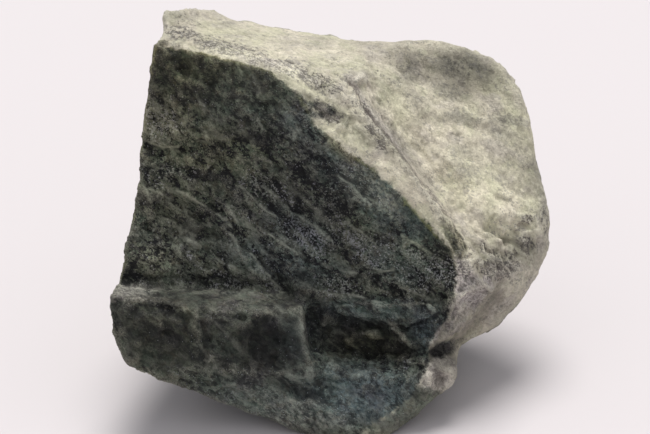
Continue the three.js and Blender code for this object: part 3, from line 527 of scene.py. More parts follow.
# on the pale faces: the knot at the head of the ridge, a shallow dish, low swells
push += 0.80 * patch(361, 77, 6.0, 5.0, 20, 0.6) + 0.35 * patch(352, 71, 4, 4, 0, 0.6) - 0.45 * patch(350, 88, 4, 6, -20, 0.6)
push -= 0.45 * patch(464, 76, 34, 18, 14, 0.7) + 0.30 * patch(418, 74, 17, 11, 20, 0.7) + 0.30 * patch(508, 248, 26, 14, 14, 0.6) + 0.25 * patch(470, 128, 30, 6, 10, 0.7)
push += 0.25 * patch(430, 108, 26, 7, 16, 0.7) + 0.25 * patch(460, 168, 36, 10, 18, 0.7) + 0.25 * patch(486, 206, 30, 9, 14, 0.7)
big_warp = P + 0.5 * np.stack([value_noise(P / 1.9, 74), value_noise(P / 1.9 + 7, 75), value_noise(P / 1.9 + 13, 76)], 1)
big, _, _ = splits(bedded(big_warp, 1.6, 1.2, 1.0) / 3.6, 37, 1.0)
face_dark = inside(FRONT_AREA, 4.0)
rough_relief = big * (0.24 + 0.34 * face_dark + 0.83 * hidden + 0.4 * loose)
d1, d2, tag, _ = cells(bedded(big_warp, 1.7, 1.3, 1.0) / 1.9, 61)
rough_relief += (0.75 * loose + 0.12 * face_dark + 0.18 * hidden) * (tag - 0.5) * smooth01(d2 - d1, 0.0, 0.16)
h = 2.3 * fbm(bedded(P, 2.6, 1.6, 1.0) / 4.2 + 1.7, 21, 3)
frac = h - np.floor(h)
rough_relief += 0.30 * (np.floor(h) + smooth01(frac, 0.66, 0.80) - h) * (0.45 + 0.55 * face_dark + 0.4 * hidden)
chip = smooth01(fbm(P / 2.0, 51, 3), -0.02, 0.36)
scar = smooth01(value_noise(P / 4.2 + 4.0, 53), 0.30, 0.50)
rough_relief -= edge * (0.14 * chip + 0.26 * scar)
calm = (0.12 + 0.88 * np.where(facing_us > 0, smooth01(facing_us, 0.08, 0.45), smooth01(-facing_us, 0.10, 0.85))) * (1 - 0.6 * inside(LEDGE_TOP, 4.0))
calm *= 1 - 0.8 * np.exp(-((PX - 524) ** 2 + (PY - 298) ** 2) / 16.0 ** 2)     # the outline stays where the solid has it
P = P + above[:, None] * ((calm * rough_relief)[:, None] * Nm + push[:, None] * TOWARD)
# the outline is a little fuller at the ledge's left end and under the right shoulder
for x, y, reach, right, up in ((121, 338, 17, -0.80, 0.0), (124, 360, 10, -0.35, 0.0), (497, 319, 17, 0.55, -0.55)):
    near = above * np.exp(-((PX - x) ** 2 + (PY - y) ** 2) / reach ** 2)
    P = P + near[:, None] * (np.array([1.0, 0.0, 0.0]) * right + np.array([0.0, se, ce]) * up)
P = P + 0.15 * (around(P) - P)
P[:, 2] = np.maximum(P[:, 2], LOWEST)

# ------------------------------------------------------------------ second skin: flakes, grains and crumbs
size = VOXEL
coarse_v, coarse_q = P - ORIGIN, quads
while True:
    even = remeshed(coarse_v, coarse_q, size)
    if 2 * len(even.polygons) <= MOST_WORKING:
        break
    bpy.data.meshes.remove(even)
    size *= 1.03
take(even, size)
even_out(4)
look()

wob = 1.8 * value_noise(P / 1.3, 81) + 1.6 * value_noise(P / 0.55, 82)
wobble_y = 1.6 * value_noise(P / 1.1, 83) + 1.4 * value_noise(P / 0.5, 85)
PX, PY = PX + wob, PY + wobble_y
front_area = inside(FRONT_AREA, 3.5)
PX, PY = PX + 0.9 * wob, PY + wobble_y
strip = inside(STRIP, 2.0)
PX, PY = PX - 0.9 * wob, PY - wobble_y
knob = inside(KNOB, 4.0)
ledge_top = inside(LEDGE_TOP, 3.0)
PX, PY = in_frame(P)
recess = inside(HOLLOW, 3.5)
PX = PX + 1.3 * value_noise(P / 1.1, 121) + 1.0 * value_noise(P / 0.5, 122)
_, crest_side, crest_dist = along(CREST, 1.0)
PX, PY = in_frame(P)
behind = -crest_side
crest = (facing_us > -0.2) * (1 - smooth01(crest_dist, 0, 9.0))
on_c = (facing_us > -0.4) * (depth > -9) * (PY > 74) * (PY < 262) * (crest_dist < 26) * smooth01(behind, 0.2, 1.6)
wall = on_c * (1 - smooth01(behind, 8, 16)) * (0.35 + 0.65 * smooth01(PY, 105, 130) - 0.35 * smooth01(PY, 160, 180) - 0.35 * smooth01(PY, 180, 205) - 0.25 * smooth01(PY, 225, 245))
_, f_side, f_dist = along(F_LINE, 1.0)
facing = (Nm * FRONT).sum(1)
front_face = np.clip(facing - 0.84, -0.35, 0.12) * (PY < 262) * (1 - smooth01(PX, 425, 450) * (PY > 240))
# dark: the front faces, darker partly in their own tone and partly as painted shade
dark = SEEN * smooth01(front_area + 1.2 * front_face, 0.38, 0.62)
under = smooth01(-Nb[:, 2], 0.15, 0.6)
patchy = fbm(P / 11.0 + 3.1, 5, 3)
PX, PY = PX + 0.8 * wob, PY + 0.8 * wobble_y
blotch = smooth01(value_noise(P / 0.9, 101) + 0.6 * value_noise(P / 0.4, 102), -0.35, 0.35)
tongue = (0.30 + 0.70 * blotch) * inside([(296, 92), (304, 97), (318, 102), (334, 106), (346, 113), (353, 122), (346, 126), (333, 121), (322, 118), (314, 121), (304, 112)], 2.5)
PX, PY = in_frame(P)
dark = np.maximum(dark, 0.92 * tongue)
PX, PY = PX + 0.8 * wob, PY + 0.8 * wobble_y
foot = inside(FOOT, 7.0) * (0.55 + 0.45 * smooth01(value_noise(P / 1.3, 111), -0.5, 0.3))
crumble = inside(CRUMBLE, 4.0)
PX, PY = in_frame(P)
wedge = inside(WEDGE, 1.6)
undercut = inside(UNDERCUT, 4.0)
cleft = inside(CLEFT, 2.0)
# painted shade: the cleft is made dark
dark = np.maximum(dark, 0.65 * cleft * (1 - 0.7 * smooth01(PX, 444, 460)))
dark = np.maximum(dark, (0.22 + 0.60 * smooth01(PY, 218, 240)) * wedge)
dark = np.maximum(dark, 0.84 * smooth01(foot, 0.1, 0.5))
near_wall = (crest_dist < 34) * (behind > -3) * (depth > -9.5) * (facing_us > -0.5)
# on the hidden sides: darker in random patches, and painted shade where the faces turn downwards
dark = np.maximum(dark, hidden * (1 - near_wall) * (0.20 + 0.50 * under + 0.45 * smooth01(patchy, -0.10, 0.12)))
_, _, left_dist = along(LEFT_LINE, 1.0)
dark = np.maximum(dark, 0.85 * (1 - smooth01(left_dist, 5, 16)) * smooth01(depth, -3.5, -1.0) * (PY > 40))
dark = np.clip(dark, 0, 1) - 0.06 * patch(370, 190, 34, 16, 42, 0.6) - 0.07 * patch(342, 150, 15, 8, 42, 0.6)
dark = np.clip(dark, 0, 1)
loose = np.clip(0.7 * strip + 0.8 * knob + 0.7 * recess + 0.9 * crumble + 0.35 * wall + 0.30 * crest + 0.35 * hidden, 0, 1)   # crumbly parts

relief = np.zeros(nv)
relief += 0.10 * fbm(bedded(P) / 1.7, 11, 4) * (1 + 0.8 * loose)
warp = P + 0.30 * np.stack([value_noise(P / 1.1, 71), value_noise(P / 1.1 + 7, 72), value_noise(P / 1.1 + 13, 73)], 1)
mid, _, _ = splits(bedded(warp, 1.6, 1.2, 1.0) / 1.25, 38, 0.46)
relief += mid * (0.40 + 0.30 * dark + 0.5 * loose)
fine_split, _, _ = splits(bedded(warp, 1.5, 1.2, 1.0) / 0.62, 39, 0.20)
relief += fine_split * (0.45 + 0.55 * dark)
h = 2.0 * fbm(bedded(P, 3.2, 1.5, 1.0) / 2.1 + 9.2, 23, 2)
frac = h - np.floor(h)
relief += 0.12 * (np.floor(h) + smooth01(frac, 0.62, 0.80) - h)
terrace = smooth01(frac, 0.56, 0.66) * (1 - smooth01(frac, 0.72, 0.84))
d1, d2, tag, _ = cells(bedded(warp, 1.4, 1.1, 1.0) / 0.62, 31)
relief += 0.09 * (tag - 0.5) * smooth01(d2 - d1, 0.02, 0.22) * (0.8 + 1.4 * loose)
relief += 0.03 * value_noise(P / 0.42, 33)
d1, d2, tag, _ = cells(warp / 2.3, 41)
relief -= 0.22 * (tag > 0.76) * (1 - smooth01(d1, 0.04, 0.26)) * (0.6 + 0.8 * loose)
d1, d2, tag, _ = cells(bedded(warp, 1.5, 1.2, 1.0) / 0.95, 62)
relief += loose * (0.34 * (tag - 0.5) * smooth01(d2 - d1, 0.0, 0.16))
chip = smooth01(fbm(P / 1.1, 52, 3), 0.0, 0.34)
relief -= edge * 0.16 * chip
# painted highlight: light lines along the splinter steps
splinter_highlight = np.zeros(nv)
for line, height, reach in SPLINTERS:
    _, side, best = along(line, 1.0)
    splinter_highlight = np.maximum(splinter_highlight, SEEN * (1 - smooth01(best, 0.3, 1.6)) * smooth01(value_noise(P / 1.3, 91), -0.7, 0.1) * min(1, abs(height) / 0.25))
relief += splinter_steps(0.35)
crack, _, _ = along([(305, 303), (324, 300), (338, 304), (352, 303), (368, 309), (384, 306), (398, 309), (414, 302), (432, 299), (446, 290)], 3.0)
crack = crack * smooth01(value_noise(P / 1.7, 87), -0.25, 0.4)
relief -= 0.22 * crack
arc, _, _ = along([(376, 321), (388, 326), (407, 327), (420, 323), (432, 317)], 2.2)
relief -= 0.25 * arc
relief += 0.13 * (facing_us > 0) * (1 - smooth01(crest_dist, 0, 3.0)) * (crest_side > -0.8) * smooth01(value_noise(P / 0.8, 123), -0.5, 0.3)
rim_line, _, _ = along(WEDGE_RIM, 2.0)
relief += 0.10 * rim_line
# crisp shreds beside the foot of the ridge
shreds = patch(440, 266, 20, 16, 14, 0.5)
rows = 3.4 * ((PY - 0.30 * PX) / 8.0 + 0.35 * value_noise(P / 1.6, 103) + 0.2 * value_noise(P / 0.6, 104))
relief += 0.16 * shreds * (smooth01(np.abs(rows - np.round(rows)), 0.10, 0.42) - 0.5)
relief *= 1 - 0.8 * np.exp(-((PX - 524) ** 2 + (PY - 298) ** 2) / 14.0 ** 2)
relief *= above * (0.30 + 0.70 * smooth01(np.abs(facing_us), 0.08, 0.42)) * (1 - 0.6 * ledge_top) * (1 - 0.35 * patch(320, 402, 130, 34, 6, 0.5)) * (1 - 0.40 * patch(465, 135, 85, 95, 20, 0.4)) * (1 - 0.3 * patch(310, 36, 110, 16, 9, 0.5))
relief = np.clip(relief, -0.9, 0.6)

P = P + relief[:, None] * Nm
P = P + 0.10 * (around(P) - P)
for _ in range(10):                      # no vertex stands out from its neighbours as a needle
    pull = around(P) - P
    size_of = np.linalg.norm(pull, axis=1)
    P = P + pull * np.clip((size_of - 0.085) / np.maximum(size_of, 1e-9), 0, 1)[:, None]
low = np.array(CAD_BOX[0]) * 1000.0 + ORIGIN
high = np.array(CAD_BOX[1]) * 1000.0 + ORIGIN
P = np.clip(P, low, high)
N2 = vertex_normals(P)
fold2 = ((P - smoothed(P, 18)) * N2).sum(1)
groove, _, _ = along([(120, 279), (138, 276), (152, 280), (172, 275), (186, 279), (204, 281), (220, 277), (238, 280), (252, 285), (268, 283), (286, 290)], 4.0)
groove = groove * smooth01(value_noise(P / 1.9, 95), -0.45, 0.25)

# ------------------------------------------------------------------ marks
# Black speck clusters of the rock; in the hollow under the dark face and on the ledge's front they also stand in for
# shade
ink = np.zeros(nv)
for x, y, rx, ry, turn, a in [
    (257, 138, 22, 7, 6, 1.0), (213, 176, 24, 5, 6, 1.0), (304, 177, 8, 20, -12, 1.0), (334, 200, 22, 26, 38, 1.0), (295, 236, 16, 11, 30, 0.9),
    (296, 214, 24, 14, 30, 0.8), (434, 272, 19, 12, 20, 0.8), (372, 240, 14, 8, 30, 0.6), (430, 248, 14, 7, 20, 0.7), (330, 170, 18, 8, 35, 0.6), (157, 84, 10, 26, 4, 0.75),
    (170, 60, 14, 10, 10, 0.6), (228, 78, 12, 22, 6, 0.35), (238, 280, 44, 5, 2, 0.9), (134, 276, 14, 7, 0, 0.8), (180, 232, 26, 6, 20, 0.35),
    (170, 172, 24, 7, 8, 0.5), (246, 212, 10, 6, 40, 0.6), (222, 205, 8, 4, 50, 0.7), (330, 114, 16, 8, 28, 1.0), (318, 103, 7, 5, 30, 0.7),
    (366, 112, 7, 4, 50, 0.4), (371, 130, 9, 5, 45, 0.8), (382, 145, 8, 5, 45, 0.9), (375, 137, 5, 3, 50, 0.8), (404, 192, 16, 10, 40, 0.25), (318, 330, 12, 22, 0, 0.7), (372, 346, 50, 8, 2, 1.0),
    (420, 330, 12, 18, -30, 0.4), (162, 313, 22, 9, 12, 1.0), (150, 338, 22, 10, 20, 0.7), (256, 346, 20, 22, 0, 1.0), (222, 322, 24, 9, 0, 0.5),
    (284, 378, 30, 8, 12, 0.5), (420, 382, 14, 8, 30, 0.4), (345, 400, 40, 7, 25, 0.25), (298, 392, 20, 8, 20, 0.7),
    (463, 69, 24, 13, 14, 0.45), (453, 94, 15, 6, 24, 0.35), (457, 118, 20, 5, 12, 0.35), (512, 121, 16, 5, 8, 0.4), (506, 134, 18, 5, 8, 0.3),
    (426, 102, 9, 4, 20, 0.25), (415, 72, 16, 9, 20, 0.25), (492, 270, 18, 9, 14, 1.0), (482, 244, 9, 5, 20, 0.5), (513, 264, 7, 7, 0, 0.9), (525, 243, 9, 7, 0, 0.8), (527, 219, 9, 5, 0, 0.8), (500, 256, 12, 6, 10, 0.6),
    (545, 222, 5, 20, -6, 0.5), (457, 244, 6, 14, -24, 0.6),
    (180, 32, 22, 7, 16, 0.85), (216, 45, 26, 8, 20, 0.85), (253, 56, 26, 8, 16, 0.9), (290, 70, 26, 8, 22, 0.95), (324, 84, 20, 8, 28, 0.85), (352, 104, 16, 7, 52, 0.35),
    (186, 24, 20, 5, 10, 0.4), (240, 46, 30, 5, 16, 0.5), (442, 268, 16, 15, 10, 0.9), (462, 264, 9, 14, -20, 0.9), (452, 300, 5, 22, 10, 0.5),
    (388, 140, 10, 5, 48, 0.9), (412, 174, 12, 4, 48, 0.8), (440, 212, 12, 5, 52, 0.9),
]:
    ink = np.maximum(ink, a * patch(x, y, rx, ry, turn, 0.55))
haze = np.zeros(nv)                          # soft grey-green mottles of the pale faces
for x, y, rx, ry, turn, a in [(463, 66, 26, 14, 14, 0.9), (450, 92, 18, 7, 24, 0.7), (457, 118, 22, 5, 12, 0.6), (512, 121, 18, 5, 8, 0.7), (506, 134, 20, 5, 8, 0.5), (426, 102, 11, 5, 20, 0.4),
                              (406, 74, 13, 9, 20, 0.6), (430, 150, 20, 5, 12, 0.25), (470, 152, 20, 5, 8, 0.3), (480, 174, 22, 5, 10, 0.3), (540, 180, 8, 30, -8, 0.5), (470, 205, 16, 5, 10, 0.3),
                              (520, 100, 12, 10, 30, 0.3), (490, 262, 18, 10, 14, 0.5), (522, 244, 12, 10, -30, 0.5), (230, 24, 30, 6, 14, 0.25), (300, 40, 40, 6, 8, 0.25), (180, 16, 20, 6, 6, 0.35)]:
    haze = np.maximum(haze, a * patch(x, y, rx, ry, turn, 0.6))
ink = np.maximum(ink, 0.75 * crest * smooth01(value_noise(P / 1.5, 97), -0.4, 0.3))
ink = np.maximum(ink, 0.22 * wall)
ink = np.maximum(ink, 0.75 * crumble * smooth01(value_noise(P / 0.7, 105) + 0.5 * value_noise(P / 0.35, 106), 0.05, 0.4) * (0.35 + 0.65 * smooth01(PY, 234, 258)))
ink = np.maximum(ink, 0.95 * (facing_us > -0.2) * (1 - smooth01(crest_dist, 1.0, 3.0 + 3.5 * smooth01(PY, 112, 135))) * (crest_side > -1.5) * smooth01(PY, 92, 104) * (0.35 + 0.65 * smooth01(value_noise(P / 0.9, 112), -0.3, 0.2)))
# painted shade: the seam above the ledge, the cracks, the arc under the slab and the cleft are filled with black specks
ink = np.maximum(ink, 0.5 * groove)
ink = np.clip(ink + 0.6 * crack + 0.8 * arc + cleft * (1 - 0.7 * smooth01(PX, 444, 460)), 0, 1)

FRONT_BLOCK = [(107, 305), (126, 302), (146, 306), (166, 311), (190, 312), (215, 316), (243, 319), (274, 316), (300, 311), (306, 338), (311, 362),
               (290, 372), (262, 370), (236, 366), (214, 368), (190, 364), (168, 371), (146, 366), (128, 362)]
# Darker zones: partly dark mineral, partly painted shade on the ledge's front, in the hollow, the seam above the ledge,
# the cleft, around the knot and behind the crest
shade = 0.9 * inside(FRONT_BLOCK, 5.0)
for x, y, rx, ry, turn, a in [(372, 336, 62, 26, 2, 0.95), (318, 330, 14, 26, 0, 0.9), (172, 60, 22, 14, 6, 0.7), (158, 88, 10, 22, 4, 0.6),
                              (238, 75, 34, 14, 10, 0.3), (257, 138, 21, 7, 6, 1.0), (213, 176, 24, 5, 6, 0.8), (308, 190, 26, 22, 30, 0.5),
                              (296, 214, 22, 14, 30, 0.45), (334, 206, 20, 16, 40, 0.5), (296, 284, 18, 20, 30, 0.9), (270, 172, 16, 8, 20, 0.4),
                              (434, 256, 16, 6, 20, 0.6), (220, 280, 46, 5, 2, 0.7), (132, 274, 16, 6, 0, 0.6), (378, 283, 18, 5, 10, 0.4),
                              (346, 232, 14, 12, 30, 0.5), (240, 128, 26, 8, 0, 0.3), (160, 165, 12, 6, 0, 0.4), (186, 216, 20, 5, 20, 0.3),
                              (331, 113, 17, 6, 28, 0.8), (298, 392, 22, 8, 20, 0.5), (282, 430, 50, 8, 6, 0.4),
                              (150, 322, 22, 12, 10, 0.7), (165, 312, 26, 7, 12, 0.8), (262, 344, 22, 18, 0, 0.9), (440, 246, 14, 6, 30, 0.6),
                              (440, 350, 11, 6, -6, 1.0), (500, 279, 5, 5, 0, 0.7), (490, 268, 5, 4, 0, 0.6), (513, 266, 4, 5, 0, 0.6), (523, 243, 6, 4, 0, 0.5), (528, 220, 7, 4, 0, 0.5),
                              (438, 374, 6, 11, 0, 0.5), (500, 269, 12, 6, 10, 0.66), (382, 169, 3, 2, 40, 1.0), (413, 173, 2.2, 1.6, 40, 0.9), (425, 195, 2.6, 1.8, 40, 0.9), (388, 143, 2.4, 1.8, 40, 0.9), (462, 262, 3, 8, -20, 0.4), (352, 85, 2.4, 8, -25, 0.9), (382, 145, 7, 4, 45, 0.45), (371, 131, 7, 3.5, 45, 0.30), (356, 88, 4, 2.5, 20, 0.8), (370, 87, 2.5, 5, -20, 0.5), (354, 75, 2.2, 4, 0, 0.6)]:
    shade = np.maximum(shade, a * patch(x, y, rx, ry, turn, 0.6))
for x, y, rx, ry, turn, a in [(116, 330, 8, 26, -12, 0.8), (196, 336, 7, 26, 0, 0.45), (212, 358, 9, 7, 0, 0.8), (222, 330, 12, 12, 0, 0.3),
                              (303, 330, 4, 21, -3, 0.7), (396, 331, 11, 5, 40, 0.8), (369, 333, 8, 4, 8, 0.7), (380, 312, 42, 7, 2, 0.35)]:
    shade *= 1 - a * patch(x, y, rx, ry, turn, 0.6)
# painted shade: a thin dark line behind the crest, the ridge's back wall, the band under the strip's ridge and the gaps
# of the crumbly patch
crest_line = (facing_us > -0.3) * smooth01(behind, -0.2, 0.5) * (1 - smooth01(behind, 1.6, 3.0)) * (crest_dist < 6) * smooth01(PY, 77, 84)
shade = np.maximum(shade, (1.0 - 0.25 * smooth01(PY, 130, 160)) * crest_line * smooth01(value_noise(P / 1.1, 88), -0.7, -0.1))
shade = np.maximum(shade, 0.20 * wall)
shade = np.maximum(shade, 0.45 * undercut)
shade = np.maximum(shade, 0.6 * crumble * smooth01(value_noise(P / 0.7, 107), 0.15, 0.55))
shade = np.clip(shade * (0.8 + 0.4 * fbm(bedded(P) / 1.2, 84, 3)), 0, 1)

# Lighter and darker patches: partly the stone's own tone, partly painted light on the pale lobe's face and painted
# shade beside the crest, right of the strip, on the ledge's top and front and at the cleft
tone_light_and_shade = np.full(nv, 0.5)
for x, y, rx, ry, turn, a in [(455, 160, 70, 55, 30, 0.18), (440, 125, 50, 26, 20, 0.08), (495, 205, 44, 34, 20, 0.18), (290, 45, 110, 18, 9, 0.12), (240, 59, 66, 6.5, 9, 0.26),
                              (300, 78, 30, 6, 32, 0.34), (340, 132, 24, 8, 42, 0.30), (380, 164, 34, 6, 42, 0.20), (402, 180, 34, 7, 46, 0.13), (432, 215, 16, 6, 48, 0.10), (320, 98, 12, 6, 30, 0.12),
                              (465, 75, 34, 22, 14, -0.32), (418, 70, 18, 12, 20, -0.16), (405, 58, 20, 10, 0, -0.26), (362, 48, 24, 10, 0, -0.10), (382, 386, 30, 16, 6, 0.06), (400, 112, 14, 12, 30, 0.28), (520, 128, 20, 14, 10, 0.13), (502, 92, 14, 12, 20, 0.06),
                              (452, 190, 16, 14, 20, 0.12), (470, 216, 14, 9, 14, -0.17), (532, 180, 9, 14, 0, -0.14), (418, 152, 12, 9, 0, -0.06), (545, 230, 8, 40, 0, 0.06), (366, 102, 12, 22, -30, 0.08), (398, 150, 17, 9, 50, -0.18), (418, 172, 14, 8, 50, -0.14), (453, 206, 9, 6, 40, -0.24), (348, 100, 16, 7, 50, 0.14), (356, 88, 16, 10, 20, 0.16), (361, 78, 7, 5, 10, 0.16), (510, 250, 30, 16, 14, -0.08),
                              (520, 280, 20, 22, -40, 0.12), (480, 312, 34, 7, -50, -0.20), (466, 266, 8, 8, 0, 0.28), (462, 280, 10, 22, 10, 0.33), (450, 310, 6, 12, 20, -0.23), (445, 332, 16, 10, -30, -0.23),
                              (455, 244, 6, 12, -24, -0.22), (440, 350, 14, 7, 0, -0.5), (443, 361, 14, 6, 0, -0.50), (446, 372, 20, 26, 0, -0.10), (450, 380, 6, 8, 0, 0.20), (455, 370, 6, 10, 0, -0.12), (430, 376, 4, 14, -8, 0.30),
                              (438, 374, 5, 10, 0, -0.12), (418, 402, 24, 9, -38, 0.10), (180, 24, 26, 14, 0, -0.06), (240, 82, 24, 12, 10, 0.11), (280, 98, 30, 14, 20, 0.16), (160, 110, 13, 14, 0, -0.17), (170, 60, 12, 8, 0, 0.12), (428, 336, 9, 8, 0, 0.14), (520, 226, 20, 12, 0, 0.22),
                              (302, 130, 34, 20, 40, 0.17), (345, 152, 28, 12, 40, 0.46), (370, 192, 34, 16, 42, 0.50), (250, 152, 26, 12, 10, 0.14), (240, 220, 16, 10, 30, 0.12), (200, 230, 22, 9, 20, -0.40),
                              (300, 230, 20, 14, 30, -0.12), (340, 250, 18, 8, 10, -0.20), (420, 242, 20, 10, 30, 0.24), (430, 280, 12, 9, 0, -0.24), (290, 265, 14, 10, 0, 0.24), (160, 258, 24, 12, 0, 0.48),
                              (380, 312, 46, 9, 4, 0.42), (402, 342, 14, 10, 0, 0.32), (182, 298, 34, 8, 4, -0.50), (205, 291, 90, 4.5, 2, 0.24), (280, 303, 22, 8, 4, -0.10), (262, 345, 22, 17, 0, -0.46), (200, 335, 100, 30, 4, -0.03),
                              (300, 415, 60, 14, 8, 0.42), (252, 398, 40, 12, 10, 0.22), (345, 398, 60, 20, 8, 0.02)]:
    tone_light_and_shade += a * patch(x, y, rx, ry, turn, 0.6)
tone_light_and_shade = np.clip(tone_light_and_shade, 0, 1)
cool = np.zeros(nv)
for x, y, rx, ry, turn, a in [(392, 205, 60, 26, 42, 0.9), (345, 175, 40, 20, 40, 0.5), (250, 90, 50, 22, 12, 0.3), (362, 394, 70, 30, 6, 0.9), (260, 402, 70, 24, 8, 0.35),
                              (430, 330, 22, 26, -20, 0.9), (285, 262, 60, 18, 14, 0.5), (405, 264, 48, 22, 16, 0.5), (300, 232, 36, 18, 30, 0.5), (302, 128, 26, 16, 34, 0.4), (370, 310, 60, 12, 0, 0.6), (300, 340, 30, 26, 0, 0.4)]:
    cool = np.maximum(cool, a * patch(x, y, rx, ry, turn, 0.6))
sparkle = np.zeros(nv)                       # thick with bright crumbs
for x, y, rx, ry, turn, a in [(440, 268, 18, 16, 10, 1.0), (308, 238, 28, 13, 30, 1.0), (157, 120, 15, 24, -4, 0.9), (348, 234, 26, 10, 30, 0.8), (412, 254, 26, 10, 20, 0.6), (463, 264, 10, 14, -20, 1.0),
                              (326, 205, 22, 14, 38, 0.45), (268, 190, 26, 14, 30, 0.45), (330, 284, 26, 8, 10, 0.5), (232, 284, 40, 5, 0, 0.5), (180, 168, 26, 8, 6, 0.4), (378, 260, 24, 9, 14, 0.5), (404, 282, 30, 8, 8, 0.45)]:
    sparkle = np.maximum(sparkle, a * patch(x, y, rx, ry, turn, 0.6))
cool = np.clip(cool + hidden * smooth01(value_noise(P / 9.0, 99), 0.0, 0.6) * 0.7, 0, 1)

warm = np.zeros(nv)                          # brown-olive parts of the fresh faces
for x, y, rx, ry, turn, a in [(190, 66, 60, 30, 8, 1.0), (165, 110, 34, 40, 0, 0.8), (240, 84, 50, 20, 10, 0.7), (200, 150, 60, 26, 6, 0.7), (170, 200, 40, 30, 10, 0.4), (345, 148, 26, 10, 42, 1.0),
                              (370, 345, 44, 12, 4, 0.8), (150, 262, 30, 16, 0, 0.4), (465, 150, 90, 120, 20, 1.0), (160, 330, 40, 30, 0, 0.3)]:
    warm = np.maximum(warm, a * patch(x, y, rx, ry, turn, 0.6))
warm = np.clip(np.maximum(warm, 0.45 * foot) + hidden * smooth01(value_noise(P / 8.0, 98), 0.0, 0.6) * 0.8, 0, 1)
soft = np.clip(inside(FRONT_BLOCK, 6.0) + ledge_top + patch(320, 404, 140, 36, 6, 0.5) + 0.7 * foot + 0.5 * inside(HOLLOW, 6.0) + 0.75 * patch(235, 84, 90, 36, 12, 0.5)
               + 0.6 * patch(372, 186, 50, 22, 42, 0.5) + 0.7 * patch(465, 140, 80, 90, 20, 0.4) + 0.5 * patch(300, 36, 120, 18, 9, 0.5), 0, 1)   # finer, quieter grain
pale = np.zeros(nv)
for x, y, rx, ry, turn, a in [(160, 118, 17, 26, -4, 0.8), (155, 133, 14, 10, 0, 0.6), (318, 400, 110, 30, 6, 0.30), (130, 291, 24, 9, 4, 0.5),
                              (232, 368, 34, 5, 3, 0.7), (250, 250, 30, 16, 20, 0.15), (404, 293, 9, 5, 0, 0.7), (396, 330, 10, 5, 40, 0.9),
                              (369, 333, 8, 3.5, 8, 0.8), (172, 283, 30, 4, 6, 0.5), (118, 330, 8, 40, -12, 0.25), (303, 330, 2.6, 21, -3, 0.6), (372, 190, 34, 16, 42, 0.80), (300, 415, 50, 14, 8, 0.5), (342, 150, 16, 9, 42, 0.55), (160, 258, 22, 11, 0, 0.35),
                              (211, 360, 7, 6, 0, 0.8), (196, 330, 5, 26, 0, 0.25)]:
    pale = np.maximum(pale, a * patch(x, y, rx, ry, turn, 0.6))
# painted highlight along the splinter and terrace steps of the dark faces
line = np.clip(splinter_highlight * dark + 0.5 * terrace * smooth01(value_noise(P / 3.1, 92), 0.0, 0.5) * dark, 0, 1)
flake = 0.25 * np.ones(nv)
for x, y, rx, ry, turn, a in [(215, 235, 80, 42, 30, 0.75), (330, 270, 60, 24, 20, 0.5), (165, 128, 26, 20, 0, 0.7), (390, 250, 50, 30, 40, 0.35), (300, 150, 60, 40, 30, 0.2)]:
    flake = np.maximum(flake, a * patch(x, y, rx, ry, turn, 0.6))
flake = np.maximum(flake, 0.5 * hidden) * dark

left_rim, _, _ = along([(154, 46), (149, 72), (146, 100), (142, 128), (140, 152), (139, 178), (135, 205), (130, 232), (124, 262), (118, 282)], 3.0)
rim = np.clip(0.8 * smooth01(2.6 - f_dist, 0, 1.6) * (f_side > -1.0) * SEEN * (0.45 + 0.55 * smooth01(PY, 150, 200)) * smooth01(value_noise(P / 2.0, 93), -0.3, 0.5)
              + 0.6 * left_rim * (facing_us > 0.3) * smooth01(value_noise(P / 2.5, 94), -0.1, 0.5), 0, 1)
pink_band = 0.42 * on_c * (1 - smooth01(behind, 4.5, 9.0)) * (1 - smooth01(PY, 130, 165))
crushed = np.clip(strip * (1 - 0.5 * blotch * smooth01(PY, 296, 312)) + 0.75 * knob + ledge_top * (0.13 + 0.29 * (1 - smooth01(PX, 136, 172))) + 0.30 * wall + pink_band + 0.55 * patch(362, 77, 7, 6, 20, 0.5) + 0.35 * patch(507, 288, 40, 24, -50, 0.5) + 0.3 * patch(544, 230, 7, 32, 0, 0.5), 0, 1) * (1 - foot) * (1 - wedge)       # brownish-violet crumbly parts
# Lighter: worn edges, and painted highlights along the lip beside the dark sliver, the crest, the strip's ridge, the
# knot and flecks of the pink band
worn_and_highlight = np.clip(edge, 0, 1) * (1 - 0.75 * dark) * (1 - smooth01(foot, 0.0, 0.3))
_, _, rim_far = along(WEDGE_RIM, 1.0)
worn_and_highlight = np.maximum(worn_and_highlight, SEEN * (1 - smooth01(rim_far, 0.6, 1.7)) * smooth01(PY, 212, 228) * (0.75 + 0.25 * value_noise(P / 0.6, 108)))
worn_and_highlight = np.maximum(worn_and_highlight, (facing_us > -0.1) * (1 - smooth01(np.abs(behind + 0.7), 0.5, 1.5)) * (crest_dist < 2.4) * smooth01(PY, 194, 226) * smooth01(value_noise(P / 0.5, 109), -0.7, 0.1))
_, _, ridge_far = along(STRIP_RIDGE, 1.0)
worn_and_highlight = np.maximum(worn_and_highlight, SEEN * 0.85 * (1 - smooth01(ridge_far, 0.6, 2.4)) * smooth01(value_noise(P / 0.6, 110), -0.6, 0.2))
worn_and_highlight = np.maximum(worn_and_highlight, 0.95 * patch(361, 77, 6, 5, 20, 0.4))
worn_and_highlight = np.maximum(worn_and_highlight, 1.2 * pink_band * smooth01(value_noise(P / 0.5, 124), 0.0, 0.4))
worn_and_highlight = np.clip(worn_and_highlight, 0, 1)
pit = smooth01(-fold2, 0.01, 0.08)
knee = smooth01(fold2, 0.01, 0.09)

